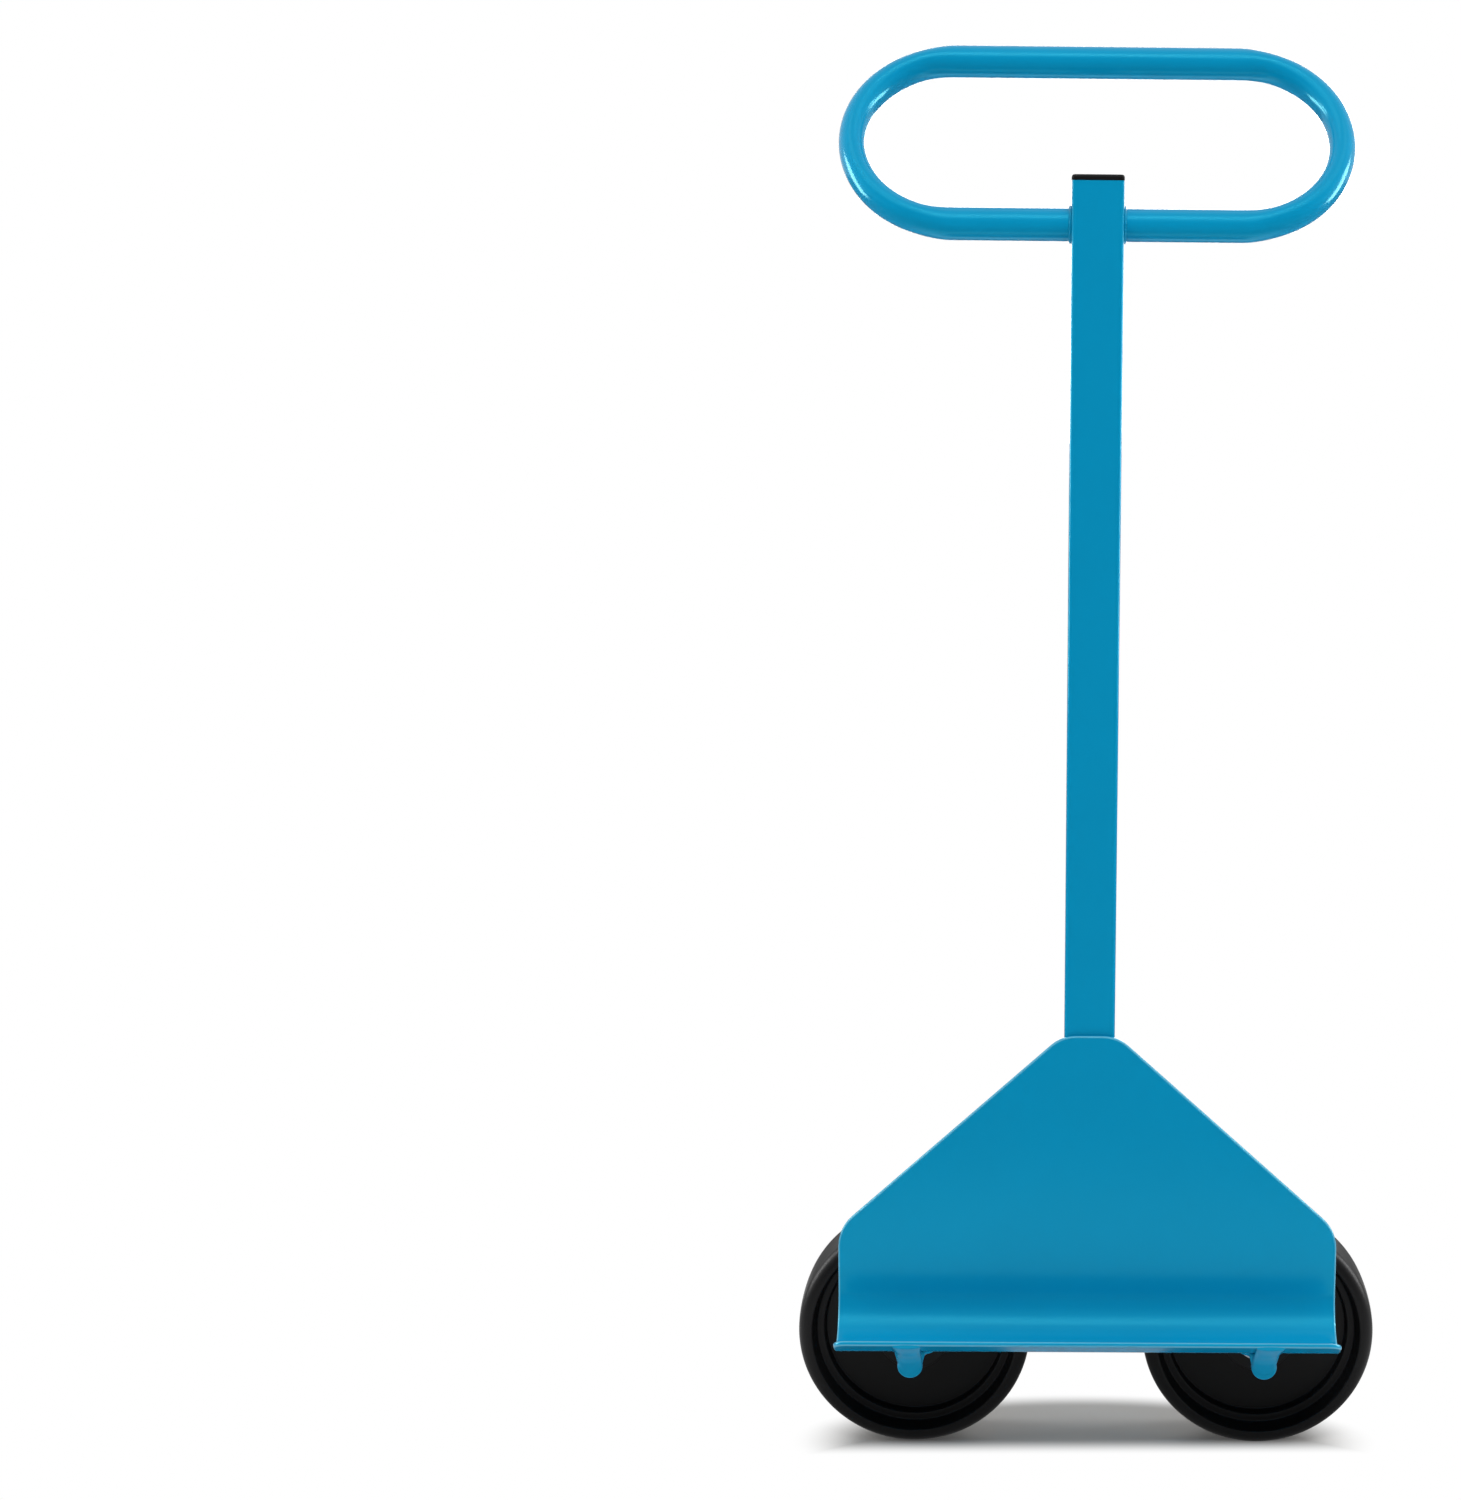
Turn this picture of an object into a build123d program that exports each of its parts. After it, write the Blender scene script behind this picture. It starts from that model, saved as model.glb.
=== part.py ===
"""Two-wheeled panel cart: a post with a loop handle, a folded carrier plate with a
gutter for the panel's edge, and two plastic wheels side by side behind the plate.

Units are millimetres. +Z is up, -Y is the front, where the panel stands, and +X is to
the right as seen from the front. The origin lies on the floor, under the middle of the
cart's box. Left and right are as seen from the front.
"""

import os
from math import cos, radians, sin, tan

from build123d import *

# Post: square steel tube with its flat foot on the back of the plate
POST_WIDTH = 40.0
POST_WALL = 2.0
POST_CORNER_R = 3.0
POST_INNER_CORNER_MIN = 0.5
POST_LENGTH = 882.0
POST_FOOT_BELOW_BEND = 3.0

# End cap: lid on the post's cut end, with a hollow plug inside the tube
CAP_LID = 4.5
CAP_LID_ROUND = 2.0
CAP_PLUG_DEPTH = 18.0
CAP_PLUG_WALL = 2.0
CAP_PLUG_CLEARANCE = 0.1

# Handle: round tube bent to a flat loop, leaning back over the wheels
HANDLE_TUBE_D = 25.0
HANDLE_TUBE_WALL = 2.0
HANDLE_STRAIGHT = 220.0
HANDLE_BEND_R = 80.0
HANDLE_LEAN_DEG = 38.0
HANDLE_BELOW_POST_TOP = 33.5
HANDLE_WELD_LEG = 2.5

# Carrier plate: sheet with a sloped top and a gutter rolled forward at its foot
PLATE_T = 4.0
PLATE_WIDTH = 400.0
PLATE_FLAT_HEIGHT = 212.5
PLATE_SHOULDER_HEIGHT = 52.0
APEX_MARGIN = 2.0
APEX_ROUND = 30.0
APEX_ROUND_SHARE = 0.9
SHOULDER_ROUND = 34.0
GUTTER_INNER_R = 32.0
GUTTER_TURN_DEG = 121.0
GUTTER_LIP = 22.0
LIP_CORNER_R = 11.0
PLATE_EDGE_R = 0.8
POST_WELD_LEG = 4.5
POST_WELD_END_MARGIN = 10.0

# Wheels: moulded plastic, dished on both sides
WHEEL_D = 190.0
WHEEL_WIDTH = 56.0
TREAD_EDGE_R = 9.0
RIM_WALL = 12.0
RIM_DRAFT = 3.0
LEDGE_DEPTH = 15.0
LEDGE_WIDTH = 6.0
LEDGE_DRAFT = 1.0
WEB_T = 8.0
HUB_LENGTH = 60.0
HUB_END_D = 58.0
HUB_DRAFT = 3.5
HUB_EDGE_R = 1.2
DISH_EDGE_R = 1.5
HUB_TO_PLATE = 18.4

# Axles: round bar welded under the gutter
AXLE_D = 20.0
AXLE_INSET = 59.5
AXLE_CHAMFER = 1.0
AXLE_FRONT_PAST_GUTTER = 12.0
AXLE_TAIL = 8.5
AXLE_ROOT_GAP = 0.2
AXLE_WELD_LEG = 6.0
AXLE_WELD_TOE_SINK = 0.6
AXLE_WELD_BACK_REACH = 9.0
AXLE_WELD_BACK_RISE = 14.0
AXLE_WELD_FRONT_SETBACK = 2.0

# Roller bearing in each hub
ROLLER_D = 5.0
ROLLER_LENGTH = 46.0
ROLLER_COUNT = 10
ROLLER_RUNNING = 0.08
CAGE_END_WALL = 5.0
CAGE_RADIAL_CLEARANCE = 0.3
CAGE_POCKET_CLEARANCE = 0.2

# Washers and split pins that keep the wheels on
WASHER_D = 37.0
WASHER_BORE_D = 21.0
WASHER_T = 3.0
END_PLAY = 0.3
PIN_D = 4.6
PIN_HOLE_D = 5.0
PIN_LEG_D = 2.3
PIN_LEG_LIFT = 0.3
PIN_EYE_R = 3.0
PIN_EYE_WIRE_D = 2.4
PIN_NECK = 2.5

# Direction of each pin's eye, and how far each leg follows the bar before its straight
# tip: turn in degrees (positive anticlockwise, seen from the front) and tip length
PIN_EYE_DEG = {"left": -20.0, "right": 115.0}
PIN_LEGS = {
    "left": ((30.0, 18.0), (-100.0, 8.0)),
    "right": ((105.0, 20.0), (-60.0, 18.0)),
}

# Distance of each axle from the middle
AXLE_X = PLATE_WIDTH / 2 - AXLE_INSET

# Heights above the floor, from the wheels up
AXLE_R = AXLE_D / 2
AXLE_Z = WHEEL_D / 2
GUTTER_OUTER_R = GUTTER_INNER_R + PLATE_T
BEND_Z = AXLE_Z + AXLE_R + AXLE_ROOT_GAP + GUTTER_OUTER_R
SHOULDER_Z = BEND_Z + PLATE_SHOULDER_HEIGHT
PLATE_TOP_Z = BEND_Z + PLATE_FLAT_HEIGHT
POST_FOOT_Z = BEND_Z - POST_FOOT_BELOW_BEND
POST_TOP_Z = POST_FOOT_Z + POST_LENGTH
HANDLE_Z = POST_TOP_Z - HANDLE_BELOW_POST_TOP

# Depths, first measured from the plate's front face, then moved to the box's middle
LEAN = radians(HANDLE_LEAN_DEG)
TURN = radians(GUTTER_TURN_DEG)
HANDLE_TUBE_R = HANDLE_TUBE_D / 2
LIP_FORWARD = GUTTER_INNER_R - GUTTER_OUTER_R * cos(TURN) + GUTTER_LIP * sin(TURN)
GUTTER_FORWARD = LIP_FORWARD - PLATE_EDGE_R * (sin(TURN) - cos(TURN) - 1)
HANDLE_BACK = PLATE_T + POST_WIDTH / 2 + 2 * HANDLE_BEND_R * sin(LEAN) + HANDLE_TUBE_R
PLATE_FRONT_Y = (GUTTER_FORWARD - HANDLE_BACK) / 2
PLATE_BACK_Y = PLATE_FRONT_Y + PLATE_T
POST_Y = PLATE_BACK_Y + POST_WIDTH / 2
GUTTER_Y = PLATE_FRONT_Y - GUTTER_INNER_R
WHEEL_Y = PLATE_BACK_Y + HUB_TO_PLATE + HUB_LENGTH / 2
OUTER_WASHER_Y = WHEEL_Y + HUB_LENGTH / 2 + END_PLAY
INNER_WASHER_Y = WHEEL_Y - HUB_LENGTH / 2 - END_PLAY - WASHER_T
PIN_Y = OUTER_WASHER_Y + WASHER_T + END_PLAY + PIN_D / 2
AXLE_BACK_Y = PIN_Y + PIN_D / 2 + AXLE_TAIL
AXLE_FRONT_Y = GUTTER_Y - AXLE_FRONT_PAST_GUTTER

# Inner corner of the post's tube, which the cap's plug follows
POST_INNER_CORNER_R = max(POST_CORNER_R - POST_WALL, POST_INNER_CORNER_MIN)

# Bearing radii, from the bar outwards
ROLLER_PITCH_R = AXLE_R + ROLLER_RUNNING + ROLLER_D / 2
HUB_BORE_R = ROLLER_PITCH_R + ROLLER_D / 2 + ROLLER_RUNNING

SIDES = {"left": -1, "right": 1}


def along_y(face_xz: Sketch, y_from: float, y_to: float) -> Part:
    """Extrude a sketch drawn as (x, z) from one depth to another."""
    plane = Plane(origin=(0, y_to, 0), x_dir=(1, 0, 0), z_dir=(0, -1, 0))
    return extrude(plane * face_xz, amount=y_to - y_from)


def rod_y(x: float, z: float, radius: float, y_from: float, y_to: float) -> Part:
    """Round bar along Y."""
    return along_y(Pos(x, z) * Circle(radius), y_from, y_to)


def ring_y(x: float, z: float, outer_r: float, inner_r: float, y: float, length: float) -> Part:
    """Flat ring or sleeve around a line along Y."""
    return along_y(Pos(x, z) * (Circle(outer_r) - Circle(inner_r)), y, y + length)


def post_outline() -> Sketch:
    """Outer section of the post, seen from above."""
    return Pos(0, POST_Y) * RectangleRounded(POST_WIDTH, POST_WIDTH, POST_CORNER_R)


def make_post() -> Part:
    """Square tube, open at both ends."""
    inner_width = POST_WIDTH - 2 * POST_WALL
    hollow = Pos(0, POST_Y) * RectangleRounded(inner_width, inner_width, POST_INNER_CORNER_R)
    return extrude(Pos(0, 0, POST_FOOT_Z) * (post_outline() - hollow), amount=POST_LENGTH)


def make_end_cap() -> Part:
    """Lid with rounded upper edges, and a hollow plug that hangs in the tube."""
    lid = extrude(Pos(0, 0, POST_TOP_Z) * post_outline(), amount=CAP_LID)
    lid = fillet(lid.faces().sort_by(Axis.Z)[-1].edges(), CAP_LID_ROUND)
    plug_width = POST_WIDTH - 2 * POST_WALL - 2 * CAP_PLUG_CLEARANCE
    plug = RectangleRounded(plug_width, plug_width, POST_INNER_CORNER_R)
    core_width = plug_width - 2 * CAP_PLUG_WALL
    core = RectangleRounded(core_width, core_width, POST_INNER_CORNER_R)
    skirt = Pos(0, POST_Y, POST_TOP_Z - CAP_PLUG_DEPTH) * (plug - core)
    return lid + extrude(skirt, amount=CAP_PLUG_DEPTH)


def make_handle() -> Part:
    """Tube from the post's right side, round the loop, to its left side."""
    upwards = (0, sin(LEAN), cos(LEAN))
    normal = Vector(1, 0, 0).cross(Vector(*upwards))
    plane = Plane(origin=(0, POST_Y, HANDLE_Z), x_dir=(1, 0, 0), z_dir=normal)
    start = POST_WIDTH / 2
    bend = HANDLE_STRAIGHT / 2
    rise = 2 * HANDLE_BEND_R
    loop = Wire(
        [
            Line((start, 0), (bend, 0)),
            ThreePointArc((bend, 0), (bend + HANDLE_BEND_R, HANDLE_BEND_R), (bend, rise)),
            Line((bend, rise), (-bend, rise)),
            ThreePointArc((-bend, rise), (-bend - HANDLE_BEND_R, HANDLE_BEND_R), (-bend, 0)),
            Line((-bend, 0), (-start, 0)),
        ]
    )
    path = plane * loop
    mouth = Plane(origin=path @ 0, x_dir=(0, 1, 0), z_dir=(1, 0, 0))
    outside = sweep(mouth * Circle(HANDLE_TUBE_R), path=path)
    inside = sweep(mouth * Circle(HANDLE_TUBE_R - HANDLE_TUBE_WALL), path=path)
    return outside - inside


def make_handle_weld(side: int) -> Part:
    """Fillet weld round the tube where it meets the post."""
    wall = POST_WIDTH / 2
    bead = Polyline(
        (wall, HANDLE_TUBE_R),
        (wall, HANDLE_TUBE_R + HANDLE_WELD_LEG),
        (wall + HANDLE_WELD_LEG, HANDLE_TUBE_R),
        close=True,
    )
    ring = revolve(make_face(bead), axis=Axis.X)
    placed = Pos(0, POST_Y, HANDLE_Z) * ring
    return placed if side > 0 else mirror(placed, about=Plane.YZ)


def plate_profile() -> Sketch:
    """Section of the bent sheet as (y, z): flat plate, gutter, then the rising lip."""

    def on_arc(radius: float, angle: float) -> tuple:
        return (GUTTER_Y + radius * cos(angle), BEND_Z - radius * sin(angle))

    def lip_end(radius: float) -> tuple:
        y, z = on_arc(radius, TURN)
        return (y - GUTTER_LIP * sin(TURN), z - GUTTER_LIP * cos(TURN))

    front_foot = on_arc(GUTTER_INNER_R, 0)
    back_foot = on_arc(GUTTER_OUTER_R, 0)
    front_top = (front_foot[0], PLATE_TOP_Z)
    back_top = (back_foot[0], PLATE_TOP_Z)
    inner_end = on_arc(GUTTER_INNER_R, TURN)
    outer_end = on_arc(GUTTER_OUTER_R, TURN)
    edge = [
        Line(front_top, front_foot),
        ThreePointArc(front_foot, on_arc(GUTTER_INNER_R, TURN / 2), inner_end),
        Line(inner_end, lip_end(GUTTER_INNER_R)),
        Line(lip_end(GUTTER_INNER_R), lip_end(GUTTER_OUTER_R)),
        Line(lip_end(GUTTER_OUTER_R), outer_end),
        ThreePointArc(outer_end, on_arc(GUTTER_OUTER_R, TURN / 2), back_foot),
        Line(back_foot, back_top),
        Line(back_top, front_top),
    ]
    return make_face(Wire(edge))


def plate_outline() -> Sketch:
    """Front outline of the plate as (x, z), with rounded apex and shoulder corners."""
    half = PLATE_WIDTH / 2
    apex = POST_WIDTH / 2 + APEX_MARGIN
    below_all = 0.0
    corners = Polyline(
        (-half, below_all),
        (half, below_all),
        (half, SHOULDER_Z),
        (apex, PLATE_TOP_Z),
        (-apex, PLATE_TOP_Z),
        (-half, SHOULDER_Z),
        close=True,
    )
    face = make_face(corners)
    face = fillet(face.vertices().group_by(Axis.Y)[-2], SHOULDER_ROUND)
    return fillet(face.vertices().group_by(Axis.Y)[-1], apex_round())


def slope_angle() -> float:
    """Angle of the sloped edges below the horizontal, in radians."""
    run = PLATE_WIDTH / 2 - POST_WIDTH / 2 - APEX_MARGIN
    return Vector(run, PLATE_TOP_Z - SHOULDER_Z).get_angle(Vector(1, 0)) * radians(1)


def apex_round() -> float:
    """Radius at the apex corners, no larger than the apex is wide."""
    room = (POST_WIDTH / 2 + APEX_MARGIN) / tan(slope_angle() / 2)
    return min(APEX_ROUND, APEX_ROUND_SHARE * room)


def make_plate() -> Part:
    """Bent sheet, cut to its outline, with round lip corners and broken edges."""
    across = Plane(origin=(-PLATE_WIDTH / 2, 0, 0), x_dir=(0, 1, 0), z_dir=(1, 0, 0))
    sheet = extrude(across * plate_profile(), amount=PLATE_WIDTH)
    outline = along_y(plate_outline(), PLATE_FRONT_Y - LIP_FORWARD - PLATE_T, PLATE_BACK_Y)
    plate = sheet & outline
    short_edges = plate.edges().filter_by(lambda edge: abs(edge.length - PLATE_T) < 0.001)
    tips = short_edges.sort_by(Axis.Y)[:2]
    plate = fillet(tips, LIP_CORNER_R)
    lip_width = PLATE_WIDTH - 2 * LIP_CORNER_R
    lip_edges = plate.edges().filter_by(lambda edge: abs(edge.length - lip_width) < 0.001)
    return fillet(lip_edges, PLATE_EDGE_R)


def make_post_weld(side: int) -> Part:
    """Bead along one corner between post and plate."""
    wall = POST_WIDTH / 2
    root = wall - POST_CORNER_R
    bead = Polyline(
        (root, PLATE_BACK_Y),
        (wall + POST_WELD_LEG, PLATE_BACK_Y),
        (wall, PLATE_BACK_Y + POST_WELD_LEG),
        (root, PLATE_BACK_Y + POST_CORNER_R),
        close=True,
    )
    section = make_face(bead) - post_outline()
    length = PLATE_TOP_Z - POST_WELD_END_MARGIN - BEND_Z
    strip = extrude(Pos(0, 0, BEND_Z) * section, amount=length)
    return strip if side > 0 else mirror(strip, about=Plane.YZ)


def make_axle(name: str) -> Part:
    """Round bar with chamfered ends and a cross hole for the split pin."""
    x = SIDES[name] * AXLE_X
    bar = rod_y(x, AXLE_Z, AXLE_R, AXLE_FRONT_Y, AXLE_BACK_Y)
    bar = chamfer(bar.edges().filter_by(GeomType.CIRCLE), AXLE_CHAMFER)
    return bar - pin_line(name, PIN_HOLE_D / 2, -AXLE_D, AXLE_D)


def make_axle_weld(side: int) -> Part:
    """Weld that fills the wedge between a bar and the underside of the gutter."""
    x = side * AXLE_X
    back_y = PLATE_BACK_Y + AXLE_WELD_BACK_REACH
    front_y = AXLE_FRONT_Y + AXLE_WELD_FRONT_SETBACK
    top_z = AXLE_Z + AXLE_R + AXLE_WELD_BACK_RISE
    waist = AXLE_R - AXLE_WELD_TOE_SINK
    spread = AXLE_R + AXLE_WELD_LEG
    flare = Polyline(
        (x - waist, AXLE_Z),
        (x + waist, AXLE_Z),
        (x + spread, top_z),
        (x - spread, top_z),
        close=True,
    )
    side_view = Polyline(
        (front_y, AXLE_Z),
        (back_y, AXLE_Z),
        (back_y, AXLE_Z + AXLE_R),
        (PLATE_BACK_Y, top_z),
        (front_y, top_z),
        close=True,
    )
    across = Plane(origin=(x - spread, 0, 0), x_dir=(0, 1, 0), z_dir=(1, 0, 0))
    block = along_y(make_face(flare), front_y, back_y)
    block = block & extrude(across * make_face(side_view), amount=2 * spread)
    drum_plane = Plane(origin=(x - 2 * spread, GUTTER_Y, BEND_Z), z_dir=(1, 0, 0))
    drum = extrude(drum_plane * Circle(GUTTER_OUTER_R), amount=4 * spread)
    bar = rod_y(x, AXLE_Z, AXLE_R, front_y - AXLE_D, back_y + AXLE_D)
    return block - drum - bar


def make_wheel(side: int) -> Part:
    """Turned section: tread, rim with an inner ledge on each side, web and long hub."""
    radius = WHEEL_D / 2
    half = WHEEL_WIDTH / 2
    rim_r = radius - RIM_WALL
    ledge_r = rim_r - RIM_DRAFT
    step_r = ledge_r - LEDGE_WIDTH
    ledge_y = half - LEDGE_DEPTH
    hub_r = HUB_END_D / 2
    upper = [
        (HUB_BORE_R, HUB_LENGTH / 2),
        (hub_r, HUB_LENGTH / 2),
        (hub_r + HUB_DRAFT, WEB_T / 2),
        (step_r - LEDGE_DRAFT, WEB_T / 2),
        (step_r, ledge_y),
        (ledge_r, ledge_y),
        (rim_r, half),
        (radius, half),
    ]
    lower = [(r, -y) for r, y in reversed(upper)]
    section = make_face(Polyline(*upper, *lower, close=True))
    tread = [v for v in section.vertices() if abs(v.X - radius) < 0.001]
    section = fillet(tread, TREAD_EDGE_R)
    hub = [v for v in section.vertices() if abs(v.X - hub_r) < 0.001]
    section = fillet(hub, HUB_EDGE_R)
    soft = (rim_r, ledge_r, step_r, step_r - LEDGE_DRAFT, hub_r + HUB_DRAFT)
    dish = [v for v in section.vertices() if any(abs(v.X - r) < 0.001 for r in soft)]
    section = fillet(dish, DISH_EDGE_R)
    centre = (side * AXLE_X, WHEEL_Y, AXLE_Z)
    plane = Plane(origin=centre, x_dir=(1, 0, 0), z_dir=(0, 0, 1))
    return revolve(plane * section, axis=Axis(centre, (0, 1, 0)))


def roller_places(side: int) -> list:
    """Centres of the rollers round one axle, as (x, z)."""
    step = radians(360 / ROLLER_COUNT)
    x = side * AXLE_X
    return [
        (x + ROLLER_PITCH_R * cos(i * step), AXLE_Z + ROLLER_PITCH_R * sin(i * step))
        for i in range(ROLLER_COUNT)
    ]


def make_rollers(side: int) -> Compound:
    """Steel rollers, each its own solid."""
    y = WHEEL_Y - ROLLER_LENGTH / 2
    pins = [rod_y(x, z, ROLLER_D / 2, y, y + ROLLER_LENGTH) for x, z in roller_places(side)]
    return Compound(children=[pin.solid() for pin in pins])


def make_cage(side: int) -> Part:
    """Sleeve with one open pocket for each roller."""
    length = ROLLER_LENGTH + 2 * CAGE_END_WALL
    inner_r = AXLE_R + CAGE_RADIAL_CLEARANCE
    outer_r = HUB_BORE_R - CAGE_RADIAL_CLEARANCE
    sleeve = ring_y(
        side * AXLE_X, AXLE_Z, outer_r, inner_r, WHEEL_Y - length / 2, length
    )
    pocket_r = ROLLER_D / 2 + CAGE_POCKET_CLEARANCE
    reach = ROLLER_LENGTH / 2 + CAGE_POCKET_CLEARANCE
    for x, z in roller_places(side):
        sleeve -= rod_y(x, z, pocket_r, WHEEL_Y - reach, WHEEL_Y + reach)
    return sleeve


def make_washer(side: int, y: float) -> Part:
    """Flat washer round an axle."""
    return ring_y(
        side * AXLE_X, AXLE_Z, WASHER_D / 2, WASHER_BORE_D / 2, y, WASHER_T
    )


def pin_plane(name: str) -> Plane:
    """Plane across an axle at its pin: x points to the pin's eye, z to the front."""
    angle = radians(PIN_EYE_DEG[name])
    centre = (SIDES[name] * AXLE_X, PIN_Y, AXLE_Z)
    return Plane(origin=centre, x_dir=(cos(angle), 0, sin(angle)), z_dir=(0, -1, 0))


def pin_line(name: str, radius: float, start: float, end: float) -> Part:
    """Round bar along a pin's own line, from and to distances towards the eye."""
    plane = pin_plane(name)
    foot = Plane(origin=plane.from_local_coords((start, 0, 0)), z_dir=plane.x_dir)
    return extrude(foot * Circle(radius), amount=end - start)


def make_pin_leg(name: str, turn_deg: float, tip: float) -> Part:
    """Leg that follows the bar from the pin's far end, then runs straight."""
    wrap_r = AXLE_R + PIN_LEG_LIFT + PIN_LEG_D / 2
    end = radians(180 + turn_deg)
    middle = radians(180 + turn_deg / 2)
    way = 1 if turn_deg > 0 else -1
    leave = (wrap_r * cos(end), wrap_r * sin(end))
    tip_end = (leave[0] - way * tip * sin(end), leave[1] + way * tip * cos(end))
    mid_point = (wrap_r * cos(middle), wrap_r * sin(middle))
    path = pin_plane(name) * Wire(
        [ThreePointArc((-wrap_r, 0), mid_point, leave), Line(leave, tip_end)]
    )
    mouth = Plane(origin=path @ 0, z_dir=path % 0)
    return sweep(mouth * Circle(PIN_LEG_D / 2), path=path)


def make_split_pin(name: str) -> Part:
    """Shank through the bar, a round eye at one end and two bent legs at the other."""
    plane = pin_plane(name)
    far_end = AXLE_R + PIN_LEG_LIFT + PIN_LEG_D
    eye_centre = AXLE_R + PIN_NECK + PIN_EYE_WIRE_D / 2 + PIN_EYE_R
    pin = pin_line(name, PIN_D / 2, -far_end, eye_centre - PIN_EYE_R)
    pin += plane * Pos(eye_centre, 0, 0) * Torus(PIN_EYE_R, PIN_EYE_WIRE_D / 2)
    for turn_deg, tip in PIN_LEGS[name]:
        pin += make_pin_leg(name, turn_deg, tip)
    return pin


def make_cart() -> dict:
    """All pieces by name."""
    pieces = {
        "post_tube": make_post(),
        "post_end_cap": make_end_cap(),
        "handle_loop": make_handle(),
        "carrier_plate": make_plate(),
    }
    for name, side in SIDES.items():
        pieces[f"{name}_handle_weld"] = make_handle_weld(side)
        pieces[f"{name}_post_weld"] = make_post_weld(side)
        pieces[f"{name}_axle"] = make_axle(name)
        pieces[f"{name}_axle_weld"] = make_axle_weld(side)
        pieces[f"{name}_inner_washer"] = make_washer(side, INNER_WASHER_Y)
        pieces[f"{name}_outer_washer"] = make_washer(side, OUTER_WASHER_Y)
        pieces[f"{name}_split_pin"] = make_split_pin(name)
        pieces[f"{name}_wheel"] = make_wheel(side)
        pieces[f"{name}_roller_cage"] = make_cage(side)
        pieces[f"{name}_rollers"] = make_rollers(side)
    return pieces


def main() -> None:
    """Build the cart and write one file for each piece."""
    os.makedirs("parts", exist_ok=True)
    for name, piece in make_cart().items():
        export_step(piece, f"parts/{name}.step")


main()
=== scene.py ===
"""Looks of the two-wheeled panel cart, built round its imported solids.

Lengths are metres in the cart's own frame: +Z is up, -Y is the front, where the panel
stands, and +X is to the right as seen from the front. Each sub-assembly is a class that
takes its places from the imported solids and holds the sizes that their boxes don't show.
"""

from __future__ import annotations

import logging
import math
from collections.abc import Iterable, Sequence
from dataclasses import dataclass
from enum import Enum
from functools import cached_property, partial

import bmesh
import bpy
from mathutils import Matrix, Vector


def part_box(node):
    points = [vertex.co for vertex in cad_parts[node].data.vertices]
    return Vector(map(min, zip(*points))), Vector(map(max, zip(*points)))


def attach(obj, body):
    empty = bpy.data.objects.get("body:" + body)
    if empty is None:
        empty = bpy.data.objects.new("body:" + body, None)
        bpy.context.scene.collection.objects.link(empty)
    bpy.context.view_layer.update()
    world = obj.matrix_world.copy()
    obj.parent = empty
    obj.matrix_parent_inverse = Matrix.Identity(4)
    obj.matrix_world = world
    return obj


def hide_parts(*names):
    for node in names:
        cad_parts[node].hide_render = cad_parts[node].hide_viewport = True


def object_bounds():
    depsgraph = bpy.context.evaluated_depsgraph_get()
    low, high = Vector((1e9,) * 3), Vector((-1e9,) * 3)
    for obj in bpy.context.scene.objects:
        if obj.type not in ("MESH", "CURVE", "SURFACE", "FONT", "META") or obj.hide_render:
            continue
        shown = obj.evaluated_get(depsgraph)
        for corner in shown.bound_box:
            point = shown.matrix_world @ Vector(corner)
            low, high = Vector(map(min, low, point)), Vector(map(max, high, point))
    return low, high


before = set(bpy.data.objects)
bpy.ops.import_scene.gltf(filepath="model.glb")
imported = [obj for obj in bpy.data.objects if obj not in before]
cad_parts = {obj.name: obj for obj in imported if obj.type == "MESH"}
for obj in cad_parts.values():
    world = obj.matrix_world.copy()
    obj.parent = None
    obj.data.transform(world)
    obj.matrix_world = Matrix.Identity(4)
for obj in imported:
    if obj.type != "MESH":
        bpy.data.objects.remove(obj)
CAD_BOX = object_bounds()

LOG = logging.getLogger("panel_cart")
MM = 0.001
# Largest turn from point to point of a rounded corner
ARC_STEP = math.radians(9.0)
MERGE_DISTANCE = 0.002 * MM
BACKWARDS = Vector((0.0, 1.0, 0.0))
# Share of thin paint, and of a painted highlight along rounded edges, at each point of a mesh
THIN_PAINT_AND_EDGE_SHEEN = "thin_paint_and_edge_sheen"
# Sockets whose names repeat, on Mix and Random Value nodes: two numbers, the random number,
# two colours and the mixed colour
NUMBER_A, NUMBER_B, RANDOM_OUT = 2, 3, 1
COLOUR_A, COLOUR_B, COLOUR_OUT = 6, 7, 2
# How much more a large face counts than a small one in a shared normal
NORMAL_WEIGHT = 90
# Shape of a bevel that is part of a circle
ROUND_PROFILE = 0.5

Pair = tuple[float, float]
Triple = tuple[float, float, float]
Drops = list[tuple[Vector, float]]


class Body(Enum):
    """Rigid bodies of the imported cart."""

    FRAME = "frame"
    LEFT_WHEEL = "left_wheel_body"
    RIGHT_WHEEL = "right_wheel_body"


class Slot(Enum):
    """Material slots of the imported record."""

    FRAME_PAINT = "frame_paint"
    WHEEL_PLASTIC = "wheel_plastic"
    CAP_PLASTIC = "cap_plastic"
    ZINC_PLATE = "zinc_plate"
    CAGE_PLASTIC = "cage_plastic"
    BEARING_STEEL = "bearing_steel"


class Side(Enum):
    """The cart's two halves, as seen from the front."""

    LEFT = "left"
    RIGHT = "right"

    @property
    def sign(self) -> int:
        """Return the sign of this half's X."""
        return -1 if self is Side.LEFT else 1

    @property
    def wheel_body(self) -> Body:
        """Return the body that turns on this side."""
        return Body.LEFT_WHEEL if self is Side.LEFT else Body.RIGHT_WHEEL


def linear(hex_colour: str) -> tuple[float, float, float, float]:
    """Turn an sRGB hex colour to linear light.

    Args:
        hex_colour: Colour as "#rrggbb".

    Returns:
        Red, green, blue and an alpha of 1.
    """
    parts = [int(hex_colour[i : i + 2], 16) / 255 for i in (1, 3, 5)]
    low = [part / 12.92 for part in parts]
    high = [((part + 0.055) / 1.055) ** 2.4 for part in parts]
    red, green, blue = (lo if part <= 0.04045 else hi for part, lo, hi in zip(parts, low, high))
    return (red, green, blue, 1.0)


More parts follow.
